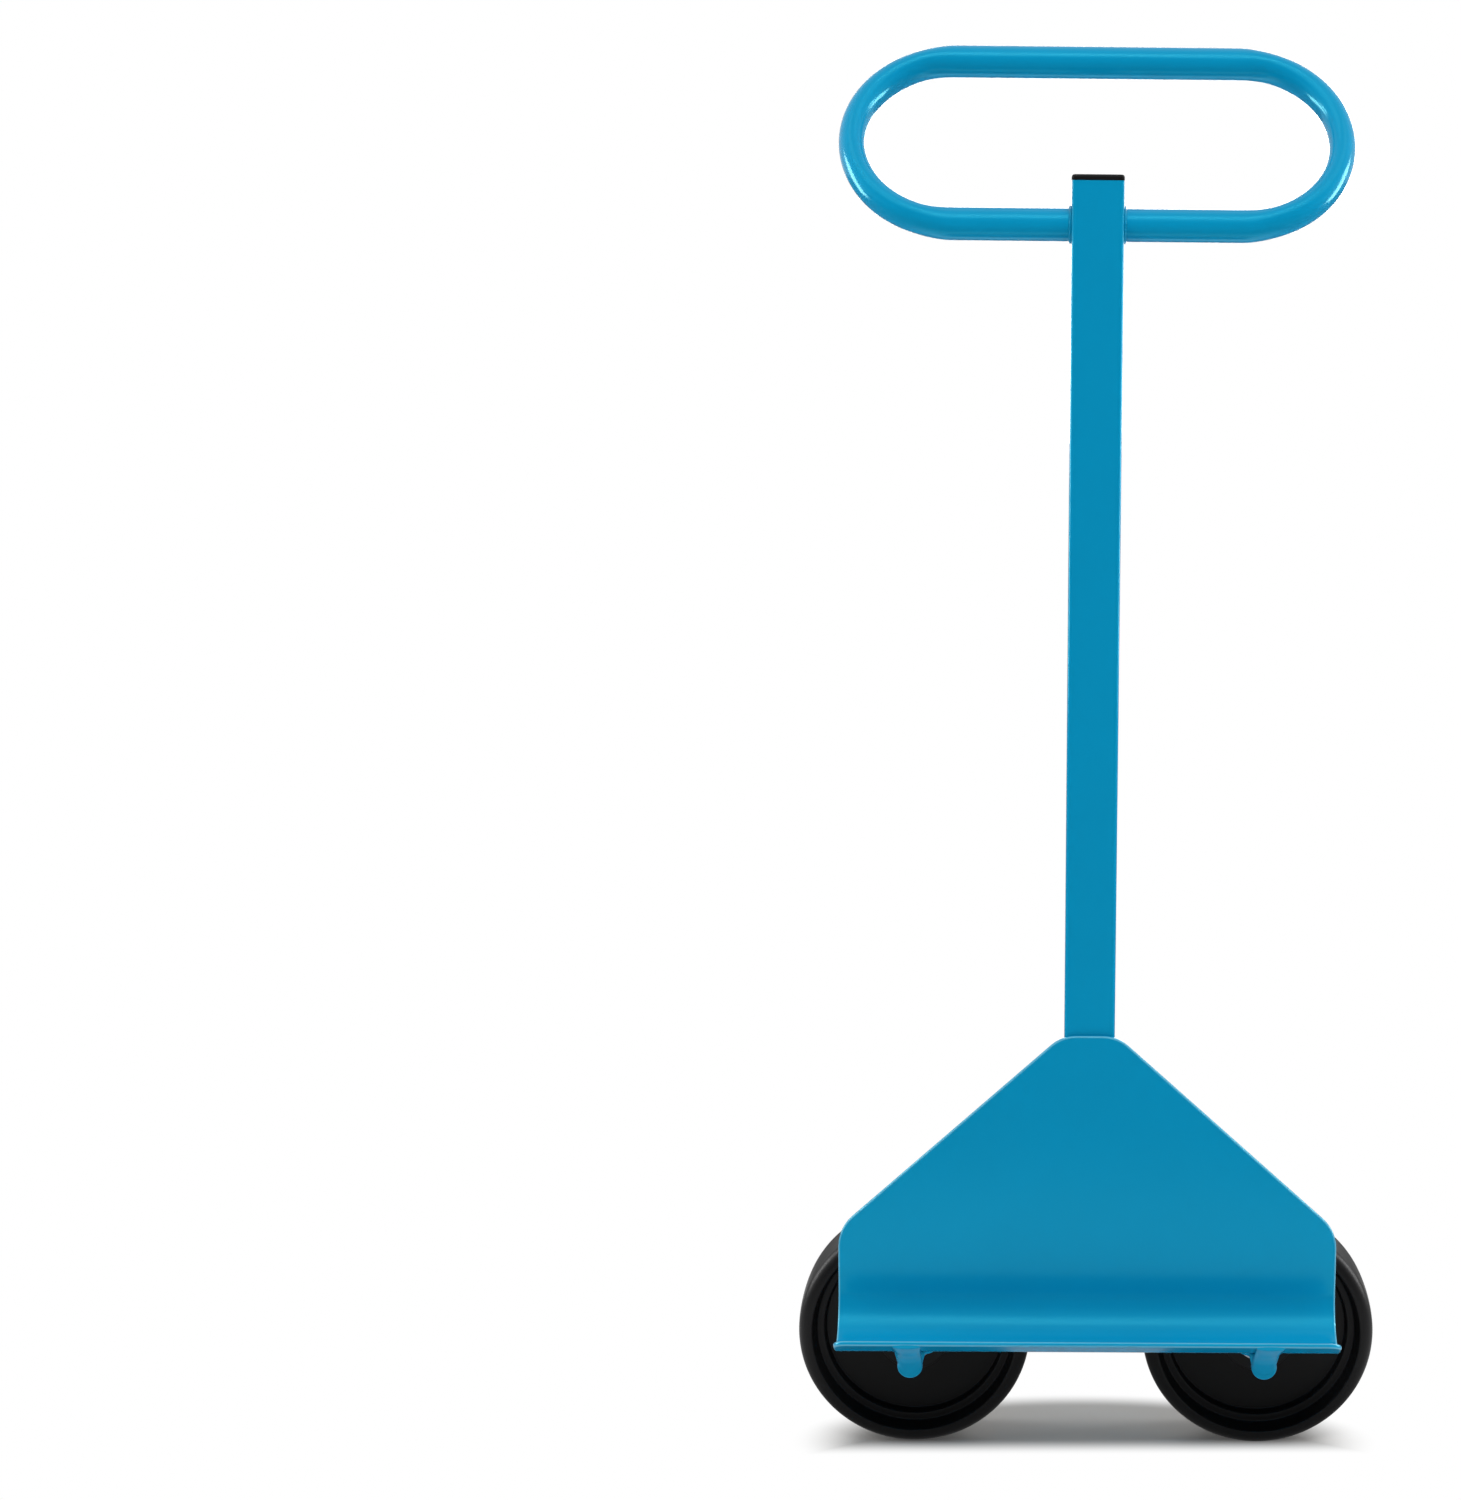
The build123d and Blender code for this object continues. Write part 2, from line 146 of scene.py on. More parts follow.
def per_metre(size_mm: float) -> float:
    """Return the texture scale at which a pattern repeats about every size_mm."""
    return 1.0 / (size_mm * MM)


def smoothstep(share: float) -> float:
    """Return a share, kept between 0 and 1 and eased at both ends."""
    kept = min(max(share, 0.0), 1.0)
    return kept * kept * (3.0 - 2.0 * kept)


def directions(start: float, end: float, steps: int) -> list[Pair]:
    """Return unit directions that turn in even steps.

    Args:
        start: First angle.
        end: Last angle.
        steps: Number of steps between them.

    Returns:
        Cosine and sine of each angle, the first and the last included.
    """
    angles = [start + (end - start) * step / steps for step in range(steps + 1)]
    return [(math.cos(angle), math.sin(angle)) for angle in angles]


def arc(centre: Vector, radius: float, ends: Pair, steps: int) -> list[Vector]:
    """Return points along an arc.

    Args:
        centre: Its centre, in a plane.
        radius: Its radius.
        ends: First and last angle.
        steps: Number of steps between them.

    Returns:
        Points from the first angle to the last.
    """
    return [centre + Vector(way) * radius for way in directions(*ends, steps)]


def bearing(azimuth: float, elevation: float) -> Vector:
    """Return the direction from the cart to a place round it.

    Args:
        azimuth: Angle from the front to the right.
        elevation: Angle above the floor.

    Returns:
        Unit vector.
    """
    flat = math.cos(elevation)
    return Vector((math.sin(azimuth) * flat, -math.cos(azimuth) * flat, math.sin(elevation)))


def packed_box(node: str) -> tuple[Vector, Vector]:
    """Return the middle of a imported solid's box, and half of its size."""
    low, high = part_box(node)
    return (low + high) / 2, (high - low) / 2


def empty_tree(owner: bpy.types.Material | bpy.types.World) -> bpy.types.NodeTree:
    """Give a material or world a node tree without nodes.

    Args:
        owner: What the tree belongs to.

    Returns:
        The tree.
    """
    owner.use_nodes = True
    owner.node_tree.nodes.clear()
    return owner.node_tree


def add_node(
    tree: bpy.types.NodeTree, kind: str, inputs: dict | None = None, **settings: object
) -> bpy.types.Node:
    """Add a node with its settings, and set or link its inputs.

    Args:
        tree: Shader, world or geometry tree.
        kind: Blender's name for the kind of node.
        inputs: Value, socket or node for each input, by the input's name or number.
        **settings: Properties of the node.

    Returns:
        The new node.
    """
    node = tree.nodes.new(kind)
    for name, value in settings.items():
        setattr(node, name, value)
    for key, value in (inputs or {}).items():
        socket = node.inputs[key]
        if isinstance(value, bpy.types.Node):
            value = value.outputs[0]
        if isinstance(value, bpy.types.NodeSocket):
            tree.links.new(value, socket)
        else:
            socket.default_value = value
    return node


# Finishes


@dataclass(frozen=True, kw_only=True)
class Finish:
    """A surface finish, made into one material on first use.

    Its colour and gloss drift slowly over the surface, and a finer grain breaks up what
    it reflects. Both patterns are given by their real size along X, Y and Z.
    """

    name: str
    slot: Slot
    colour: str
    drift_colour: str
    roughness: Pair
    drift_mm: Triple
    drift_detail: float
    grain_mm: Triple
    grain_detail: float
    grain_depth_mm: float

    def material(self) -> bpy.types.Material:
        """Return the material of this finish.

        Returns:
            The material, which is built when it is first asked for.
        """
        found = bpy.data.materials.get(self.name)
        if found is None:
            found = bpy.data.materials.new(self.name)
            self.build(empty_tree(found))
        return found

    def build(self, tree: bpy.types.NodeTree) -> None:
        """Fill the material's node tree.

        Args:
            tree: Empty shader tree.
        """
        add = partial(add_node, tree)
        place = add("ShaderNodeTexCoord").outputs["Object"]
        drift, grain = (
            add(
                "ShaderNodeTexNoise",
                {
                    "Vector": add(
                        "ShaderNodeMapping",
                        {"Vector": place, "Scale": tuple(per_metre(size) for size in sizes)},
                    ),
                    "Scale": 1.0,
                    "Detail": detail,
                },
            )
            for sizes, detail in (
                (self.drift_mm, self.drift_detail),
                (self.grain_mm, self.grain_detail),
            )
        )
        colour = add(
            "ShaderNodeMix",
            {0: drift, COLOUR_A: linear(self.colour), COLOUR_B: linear(self.drift_colour)},
            data_type="RGBA",
        )
        gloss = add(
            "ShaderNodeMapRange",
            {"Value": drift, "To Min": self.roughness[0], "To Max": self.roughness[1]},
        )
        bump = add("ShaderNodeBump", {"Height": grain, "Distance": self.grain_depth_mm * MM})
        shader = add(
            "ShaderNodeBsdfPrincipled",
            {
                "Base Color": self.skin(tree, colour.outputs[COLOUR_OUT]),
                "Roughness": gloss,
                "Normal": bump,
                **self.plain_values(),
            },
        )
        add("ShaderNodeOutputMaterial", {"Surface": shader})

    def skin(self, tree: bpy.types.NodeTree, colour: bpy.types.NodeSocket) -> bpy.types.NodeSocket:
        """Return the colour of the surface, which is the drifting one."""
        return colour

    def plain_values(self) -> dict[str, object]:
        """Return the values of the shader's sockets that are the same all over."""
        return {}


@dataclass(frozen=True, kw_only=True)
class PowderCoat(Finish):
    """Polyester powder, sprayed on steel and baked: an even blue skin with a soft gloss.

    The melt leaves a faint orange peel that breaks up reflections. Its colour is a
    little deeper where it ran thick, and paler along cut edges, where it drew back
    thin and where the edges' highlight is painted in.
    """

    name: str = "blue_powder_coated_steel"
    slot: Slot = Slot.FRAME_PAINT
    colour: str = "#048ab7"
    drift_colour: str = "#0484b0"
    # Pale colour of the rounded edges: thin paint, with their highlight painted in
    thin_paint_and_sheen_colour: str = "#5aa1bd"
    sheen_tint: str = "#50d2d4"
    ior: float = 1.8
    roughness: Pair = (0.13, 0.19)
    drift_mm: Triple = (90.0, 90.0, 90.0)
    drift_detail: float = 2.0
    # Real orange peel repeats about every 2 mm, which no render of the whole cart shows
    grain_mm: Triple = (7.0, 7.0, 7.0)
    grain_detail: float = 1.0
    grain_depth_mm: float = 0.003

    def skin(self, tree: bpy.types.NodeTree, colour: bpy.types.NodeSocket) -> bpy.types.NodeSocket:
        """Make the colour paler where the mesh marks thin paint and a painted edge highlight.

        Args:
            tree: The material's tree.
            colour: Colour of the full coat.

        Returns:
            Colour of the surface.
        """
        # Pale where the edges are rounded: thin paint, with the edges' highlight painted in
        thin = add_node(tree, "ShaderNodeAttribute", attribute_name=THIN_PAINT_AND_EDGE_SHEEN).outputs["Fac"]
        mixed = add_node(
            tree,
            "ShaderNodeMix",
            {0: thin, COLOUR_A: colour, COLOUR_B: linear(self.thin_paint_and_sheen_colour)},
            data_type="RGBA",
        )
        return mixed.outputs[COLOUR_OUT]

    def plain_values(self) -> dict[str, object]:
        """Return the coat's IOR and the tint of its sheen."""
        return {"IOR": self.ior, "Specular Tint": linear(self.sheen_tint)}


@dataclass(frozen=True, kw_only=True)
class MouldedPlastic(Finish):
    """Injection moulded plastic: one colour through and through, with a spark-eroded grain."""

    drift_detail: float = 4.0
    grain_detail: float = 2.0
    ior: float = 1.49
    specular: float = 0.5

    def plain_values(self) -> dict[str, object]:
        """Return the plastic's IOR and the strength of its highlights."""
        return {"IOR": self.ior, "Specular IOR Level": self.specular}


@dataclass(frozen=True, kw_only=True)
class BareMetal(Finish):
    """Bare or plated steel: a metal's reflection, with a cloudy or ground variation."""

    drift_detail: float = 3.0
    grain_detail: float = 3.0

    def plain_values(self) -> dict[str, object]:
        """Return the mark of a metal."""
        return {"Metallic": 1.0}


PAINT = PowderCoat()
# Black nylon, moulded in a satin tool: soft highlights, slightly cloudy where the melt met
WHEEL_PLASTIC = MouldedPlastic(
    name="black_moulded_nylon",
    slot=Slot.WHEEL_PLASTIC,
    colour="#0c0c0d",
    drift_colour="#101011",
    roughness=(0.34, 0.46),
    drift_mm=(35.0, 35.0, 35.0),
    grain_mm=(3.0, 3.0, 3.0),
    grain_depth_mm=0.012,
    specular=0.24,
)
# Black polyethylene, softer and duller than the wheels
CAP_PLASTIC = MouldedPlastic(
    name="black_moulded_polyethylene",
    slot=Slot.CAP_PLASTIC,
    colour="#0b0b0c",
    drift_colour="#111113",
    roughness=(0.45, 0.58),
    drift_mm=(12.0, 12.0, 12.0),
    grain_mm=(1.5, 1.5, 1.5),
    grain_depth_mm=0.02,
    specular=0.25,
)
# Natural acetal, waxy and slightly warm
CAGE_PLASTIC = MouldedPlastic(
    name="natural_moulded_acetal",
    slot=Slot.CAGE_PLASTIC,
    colour="#dcd8cb",
    drift_colour="#d3cebf",
    roughness=(0.38, 0.5),
    drift_mm=(8.0, 8.0, 8.0),
    grain_mm=(1.5, 1.5, 1.5),
    grain_depth_mm=0.01,
    ior=1.48,
)
# Bright zinc, plated and passivated: white metal with a faint cloudy haze
ZINC_PLATE = BareMetal(
    name="bright_zinc_plated_steel",
    slot=Slot.ZINC_PLATE,
    colour="#d9dcdf",
    drift_colour="#c6cbd1",
    roughness=(0.2, 0.36),
    drift_mm=(4.0, 4.0, 4.0),
    grain_mm=(4.0, 4.0, 4.0),
    grain_depth_mm=0.01,
)
# Hardened steel, ground: fine rings round each roller
GROUND_STEEL = BareMetal(
    name="ground_bearing_steel",
    slot=Slot.BEARING_STEEL,
    colour="#b9bbbe",
    drift_colour="#a3a6aa",
    roughness=(0.14, 0.24),
    drift_mm=(6.0, 0.5, 6.0),
    grain_mm=(6.0, 0.5, 6.0),
    grain_depth_mm=0.002,
)


# Mesh helpers


def rounded_path(corners: Sequence[Triple], closed: bool = False) -> list[Pair]:
    """Draw a path through corners, each rounded by its own radius.

    Args:
        corners: The two coordinates and the radius of each corner; radius 0 stays sharp.
        closed: Whether the last corner joins the first.

    Returns:
        Points along the path, with arcs cut into steps of about ARC_STEP.
    """
    points: list[Pair] = []
    count = len(corners)
    for index, (u, v, radius) in enumerate(corners):
        at_end = not closed and index in (0, count - 1)
        if at_end or radius <= 0.0:
            points.append((u, v))
            continue
        corner = Vector((u, v))
        back = (Vector(corners[index - 1][:2]) - corner).normalized()
        ahead = (Vector(corners[(index + 1) % count][:2]) - corner).normalized()
        inside = back.angle(ahead)
        middle = (back + ahead).normalized()
        centre = corner + middle * (radius / math.sin(inside / 2))
        start = corner + back * (radius / math.tan(inside / 2)) - centre
        turn = math.pi - inside
        if back.x * ahead.y - back.y * ahead.x > 0.0:
            turn = -turn
        steps = max(2, math.ceil(abs(turn) / ARC_STEP))
        for step in range(steps + 1):
            spot = centre + Matrix.Rotation(turn * step / steps, 2) @ start
            points.append((spot.x, spot.y))
    return points


def add_object(name: str, data: bpy.types.ID) -> bpy.types.Object:
    """Put an object in the scene, at the origin.

    Args:
        name: Name of the object.
        data: Its mesh, lamp or camera.

    Returns:
        The object.
    """
    thing = bpy.data.objects.new(name, data)
    bpy.context.scene.collection.objects.link(thing)
    return thing


def shape_object(name: str, shape: bmesh.types.BMesh) -> bpy.types.Object:
    """Make a smooth-shaded object from a finished shape.

    Args:
        name: Name of the object.
        shape: Its mesh, which is freed.

    Returns:
        The object.
    """
    mesh = bpy.data.meshes.new(name)
    shape.to_mesh(mesh)
    shape.free()
    mesh.shade_smooth()
    return add_object(name, mesh)


def mesh_object(
    name: str, points: Iterable[Sequence[float]], faces: Iterable[Sequence[int]]
) -> bpy.types.Object:
    """Make a closed object with its faces pointing outwards.

    Args:
        name: Name of the piece.
        points: Vertex places in the cart's frame.
        faces: Vertex numbers of each face.

    Returns:
        The object.
    """
    mesh = bpy.data.meshes.new(name)
    mesh.from_pydata([tuple(point) for point in points], [], [tuple(face) for face in faces])
    shape = bmesh.new()
    shape.from_mesh(mesh)
    bpy.data.meshes.remove(mesh)
    bmesh.ops.remove_doubles(shape, verts=shape.verts, dist=MERGE_DISTANCE)
    bmesh.ops.recalc_face_normals(shape, faces=shape.faces)
    return shape_object(name, shape)


def path_object(
    name: str, points: Sequence[Vector], attribute: str, values: Sequence[float]
) -> bpy.types.Object:
    """Make an object of points joined by edges, with one number on each point.

    Args:
        name: Name of the piece.
        points: Places along the path.
        attribute: Name of the number.
        values: The number at each point.

    Returns:
        The object.
    """
    mesh = bpy.data.meshes.new(name)
    edges = [(spot, spot + 1) for spot in range(len(points) - 1)]
    mesh.from_pydata([tuple(point) for point in points], edges, [])
    mesh.attributes.new(attribute, "FLOAT", "POINT").data.foreach_set("value", values)
    return add_object(name, mesh)


def loft_faces(rings: int, size: int, closed: bool) -> list[tuple[int, ...]]:
    """Return the faces between rings of points that follow each other.

    Args:
        rings: Number of rings.
        size: Points in each ring.
        closed: Whether the last ring joins the first; otherwise both ends get a lid.

    Returns:
        Vertex numbers of each face.
    """
    faces: list[tuple[int, ...]] = []
    for ring in range(rings if closed else rings - 1):
        here = ring * size
        there = (ring + 1) % rings * size
        for spot in range(size):
            after = (spot + 1) % size
            faces.append((here + spot, here + after, there + after, there + spot))
    if not closed:
        faces.append(tuple(range(size)))
        faces.append(tuple(range((rings - 1) * size, rings * size)))
    return faces


def lathe(
    name: str,
    section: Sequence[Pair],
    centre: Vector,
    segments: int,
    closed: bool = True,
    axis: Vector = BACKWARDS,
) -> bpy.types.Object:
    """Turn a section round a line.

    Args:
        name: Name of the piece.
        section: Radius and place along the line of each point, measured from the centre.
        centre: Point on the line.
        segments: Facets in a full turn.
        closed: Whether the section is a loop; otherwise its two ends get flat lids.
        axis: Direction of the line.

    Returns:
        The turned object.
    """
    side = axis.orthogonal().normalized()
    up = axis.cross(side)
    around = [side * wide + up * high for wide, high in directions(0.0, math.tau, segments)[:-1]]
    points = [centre + axis * depth + out * radius for radius, depth in section for out in around]
    return mesh_object(name, points, loft_faces(len(section), segments, closed))


def apply_modifiers(piece: bpy.types.Object) -> None:
    """Turn an object's modifiers into plain mesh.

    Args:
        piece: The object.
    """
    graph = bpy.context.evaluated_depsgraph_get()
    mesh = bpy.data.meshes.new_from_object(piece.evaluated_get(graph), depsgraph=graph)
    piece.modifiers.clear()
    piece.data = mesh


def weigh_normals(piece: bpy.types.Object) -> None:
    """Shade flats flat and small rounds round, by weighing normals by face area."""
    piece.modifiers.new("weighted_normals", "WEIGHTED_NORMAL").weight = NORMAL_WEIGHT
    apply_modifiers(piece)


def dress(piece: bpy.types.Object, finish: Finish) -> None:
    """Give a piece its finish and report it.

    Args:
        piece: Finished object.
        finish: Its finish.
    """
    piece.data.materials.clear()
    piece.data.materials.append(finish.material())
    LOG.info("%s: %d faces, %s", piece.name, len(piece.data.polygons), finish.name)


def settle(piece: bpy.types.Object, finish: Finish, body: Body, *nodes: str) -> None:
    """Dress a finished piece and join it to its body.

    Args:
        piece: Finished object, at the origin.
        finish: Its finish.
        body: Body that it moves with.
        *nodes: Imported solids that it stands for.
    """
    dress(piece, finish)
    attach(piece, body.value)
    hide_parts(*nodes)


class NodeShape:
    """A geometry node tree with named inputs, used to shape one kind of piece."""

    def __init__(self, name: str, inputs: dict[str, str]) -> None:
        """Start the tree.

        Args:
            name: Name of the tree.
            inputs: Kind of value for each named input: Float, Int or Vector.
        """
        self.tree = bpy.data.node_groups.new(name, "GeometryNodeTree")
        face = self.tree.interface
        face.new_socket("Geometry", in_out="INPUT", socket_type="NodeSocketGeometry")
        self.names = {
            title: face.new_socket(
                title, in_out="INPUT", socket_type=f"NodeSocket{kind}"
            ).identifier
            for title, kind in inputs.items()
        }
        face.new_socket("Geometry", in_out="OUTPUT", socket_type="NodeSocketGeometry")
        self.add = partial(add_node, self.tree)
        self.source = self.add("NodeGroupInput").outputs

    def close(self, shape: bpy.types.Node, finish: Finish) -> None:
        """End the tree with real, smooth, dressed mesh.

        Args:
            shape: Node that holds the whole shape.
            finish: Finish of the shape.
        """
        smooth = self.add("GeometryNodeSetShadeSmooth", {"Geometry": shape})
        real = self.add("GeometryNodeRealizeInstances", {"Geometry": smooth})
        dressed = self.add(
            "GeometryNodeSetMaterial", {"Geometry": real, "Material": finish.material()}
        )
        self.add("NodeGroupOutput", {0: dressed})

    def shape(self, piece: bpy.types.Object, **values: object) -> None:
        """Run the tree on an object and keep the result as plain mesh.

        Args:
            piece: Object whose mesh goes into the tree.
            **values: Value of each named input, with _ for each blank of its name.
        """
        modifier = piece.modifiers.new(self.tree.name, "NODES")
        modifier.node_group = self.tree
        for key, value in values.items():
            modifier[self.names[key.replace("_", " ")]] = value
        apply_modifiers(piece)


# Sub-assemblies


@dataclass
class Post:
    """Square tube and the plastic cap in its upper end."""

    wall: float = 2.0 * MM
    corner_radius: float = 3.0 * MM
    inner_corner_radius: float = 1.0 * MM
    broken_edge: float = 0.4 * MM
    lid_round: float = 2.0 * MM
    lid_round_steps: int = 6
    lid_crown: float = 0.25 * MM
    # Rings of the lid's crown, as shares of its flat top
    lid_rings: tuple[float, ...] = (0.75, 0.5, 0.25)
    plug_clearance: float = 0.1 * MM
    plug_wall: float = 2.0 * MM

    def square(self, half: float, radius: float, height: float) -> list[Vector]:
        """Return a ring of points round a rounded square.

        Args:
            half: Half of the square's width.
            radius: Radius of its corners.
            height: Height above the floor.

        Returns:
            Points round the post's own middle line.
        """
        corners = [
            (x * half, y * half, radius) for x, y in ((1, 1), (-1, 1), (-1, -1), (1, -1))
        ]
        middle_y = packed_box("post_tube")[0].y
        return [Vector((x, middle_y + y, height)) for x, y in rounded_path(corners, closed=True)]

    def loft(self, name: str, stations: Sequence[Triple], closed: bool) -> bpy.types.Object:
        """Join rounded squares that follow each other.

        Args:
            name: Name of the piece.
            stations: Half width, corner radius and height of each square.
            closed: Whether the last square joins the first.

        Returns:
            The piece.
        """
        rings = [self.square(*station) for station in stations]
        points = [point for ring in rings for point in ring]
        piece = mesh_object(name, points, loft_faces(len(rings), len(rings[0]), closed))
        weigh_normals(piece)
        return piece

    def build(self) -> None:
        """Build and dress the tube and the cap."""
        settle(self.build_tube(), PAINT, Body.FRAME, "post_tube")
        settle(self.build_cap(), CAP_PLASTIC, Body.FRAME, "post_end_cap")

    def build_tube(self) -> bpy.types.Object:
        """Build the tube, with broken edges at both cut ends.

        Returns:
            The tube.
        """
        low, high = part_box("post_tube")
        half = (high.x - low.x) / 2
        inner = half - self.wall
        edge = self.broken_edge
        outer_r, inner_r = self.corner_radius, self.inner_corner_radius
        stations = [
            (half - edge, outer_r, low.z),
            (half, outer_r, low.z + edge),
            (half, outer_r, high.z - edge),
            (half - edge, outer_r, high.z),
            (inner + edge, inner_r, high.z),
            (inner, inner_r, high.z - edge),
            (inner, inner_r, low.z + edge),
            (inner + edge, inner_r, low.z),
        ]
        return self.loft("post", stations, closed=True)

    def build_cap(self) -> bpy.types.Object:
        """Build the lid and its hollow plug as one moulding.

        Returns:
            The cap.
        """
        post_low, post_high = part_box("post_tube")
        low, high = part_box("post_end_cap")
        half = (post_high.x - post_low.x) / 2
        plug = half - self.wall - self.plug_clearance
        core = plug - self.plug_wall
        corner, inner_corner = self.corner_radius, self.inner_corner_radius
        stations = [
            (core, inner_corner, post_high.z),
            (core, inner_corner, low.z),
            (plug, inner_corner, low.z),
            (plug, inner_corner, post_high.z),
            (half, corner, post_high.z),
        ]
        flat = half - self.lid_round
        shoulder = high.z - self.lid_crown - self.lid_round
        for wide, rise in directions(0.0, math.pi / 2, self.lid_round_steps):
            out = flat + self.lid_round * wide
            stations.append((out, corner, shoulder + self.lid_round * rise))
        for share in self.lid_rings:
            stations.append((flat * share, corner * share, high.z - self.lid_crown * share**2))
        return self.loft("end_cap", stations, closed=False)


@dataclass
class LoopHandle:
    """Round tube bent to a loop, a little flattened where it was bent."""

    straight: float = 220.0 * MM
    bend_radius: float = 80.0 * MM
    lean: float = math.radians(38.0)
    tube_diameter: float = 25.0 * MM
    flattening: float = 0.16
    spread: float = 0.05
    bend_run_in: float = math.radians(22.0)
    facets: int = 64
    bend_steps: int = 72

    def path(self) -> tuple[list[Vector], list[float]]:
        """Return the tube's centre line from right to left, and how bent it is.

        Returns:
            Points in the cart's frame, and for each 0 on a straight run to 1 in a bend.
        """
        low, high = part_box("post_tube")
        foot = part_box("handle_loop")[0].z + self.tube_diameter / 2
        middle = Vector((0.0, (low.y + high.y) / 2, foot))
        up = Vector((0.0, math.sin(self.lean), math.cos(self.lean)))
        half, radius = self.straight / 2, self.bend_radius
        flat = [(high.x, 0.0, 0.0), (half, 0.0, 0.0)]
        for step in range(1, self.bend_steps):
            turn = math.pi * step / self.bend_steps
            bent = smoothstep(min(turn, math.pi - turn) / self.bend_run_in)
            flat.append((half + radius * math.sin(turn), radius - radius * math.cos(turn), bent))
        flat.append((half, 2 * radius, 0.0))
        flat += [(-x, rise, bent) for x, rise, bent in reversed(flat)]
        points = [middle + Vector((x, 0.0, 0.0)) + up * rise for x, rise, bent in flat]
        return points, [bent for x, rise, bent in flat]

    def tube_shape(self) -> NodeShape:
        """Make the tree that sweeps a tube and flattens it in its bends.

        Returns:
            The tree.
        """
        made = NodeShape(
            "tube_bent_to_a_loop",
            {
                "Diameter": "Float",
                "Facets": "Int",
                "Flattening": "Float",
                "Spread": "Float",
                "Loop Normal": "Vector",
            },
        )
        add, source = made.add, made.source
        line = add("GeometryNodeMeshToCurve", {"Mesh": source["Geometry"]})
        spot = add("GeometryNodeInputPosition")
        marked = add(
            "GeometryNodeStoreNamedAttribute",
            {"Geometry": line, "Name": "centre", "Value": spot},
            data_type="FLOAT_VECTOR",
        )
        radius = add("ShaderNodeMath", {0: source["Diameter"], 1: 2.0}, operation="DIVIDE")
        ring = add(
            "GeometryNodeCurvePrimitiveCircle", {"Resolution": source["Facets"], "Radius": radius}
        )
        tube = add(
            "GeometryNodeCurveToMesh", {"Curve": marked, "Profile Curve": ring, "Fill Caps": True}
        )
        centre, bent = (
            add("GeometryNodeInputNamedAttribute", {"Name": name}, data_type=kind)
            for name, kind in (("centre", "FLOAT_VECTOR"), ("bent", "FLOAT"))
        )
        out = add("ShaderNodeVectorMath", {0: spot, 1: centre}, operation="SUBTRACT")
        across = add(
            "ShaderNodeVectorMath", {0: out, 1: source["Loop Normal"]}, operation="PROJECT"
        )
        within = add("ShaderNodeVectorMath", {0: out, 1: across}, operation="SUBTRACT")
        wider, flatter = (
            add(
                "ShaderNodeVectorMath",
                {
                    0: part,
                    "Scale": add(
                        "ShaderNodeMath", {0: source[change], 1: bent}, operation="MULTIPLY"
                    ),
                },
                operation="SCALE",
            )
            for part, change in ((across, "Spread"), (within, "Flattening"))
        )
        offset = add("ShaderNodeVectorMath", {0: wider, 1: flatter}, operation="SUBTRACT")
        oval = add("GeometryNodeSetPosition", {"Geometry": tube, "Offset": offset})
        made.close(oval, PAINT)
        return made

    def build(self) -> None:
        """Build and dress the loop."""
        points, bent = self.path()
        loop = path_object("loop_handle", points, "bent", bent)
        self.tube_shape().shape(
            loop,
            Diameter=self.tube_diameter,
            Facets=self.facets,
            Flattening=self.flattening,
            Spread=self.spread,
            Loop_Normal=Vector((0.0, -math.cos(self.lean), math.sin(self.lean))),
        )
        settle(loop, PAINT, Body.FRAME, "handle_loop")


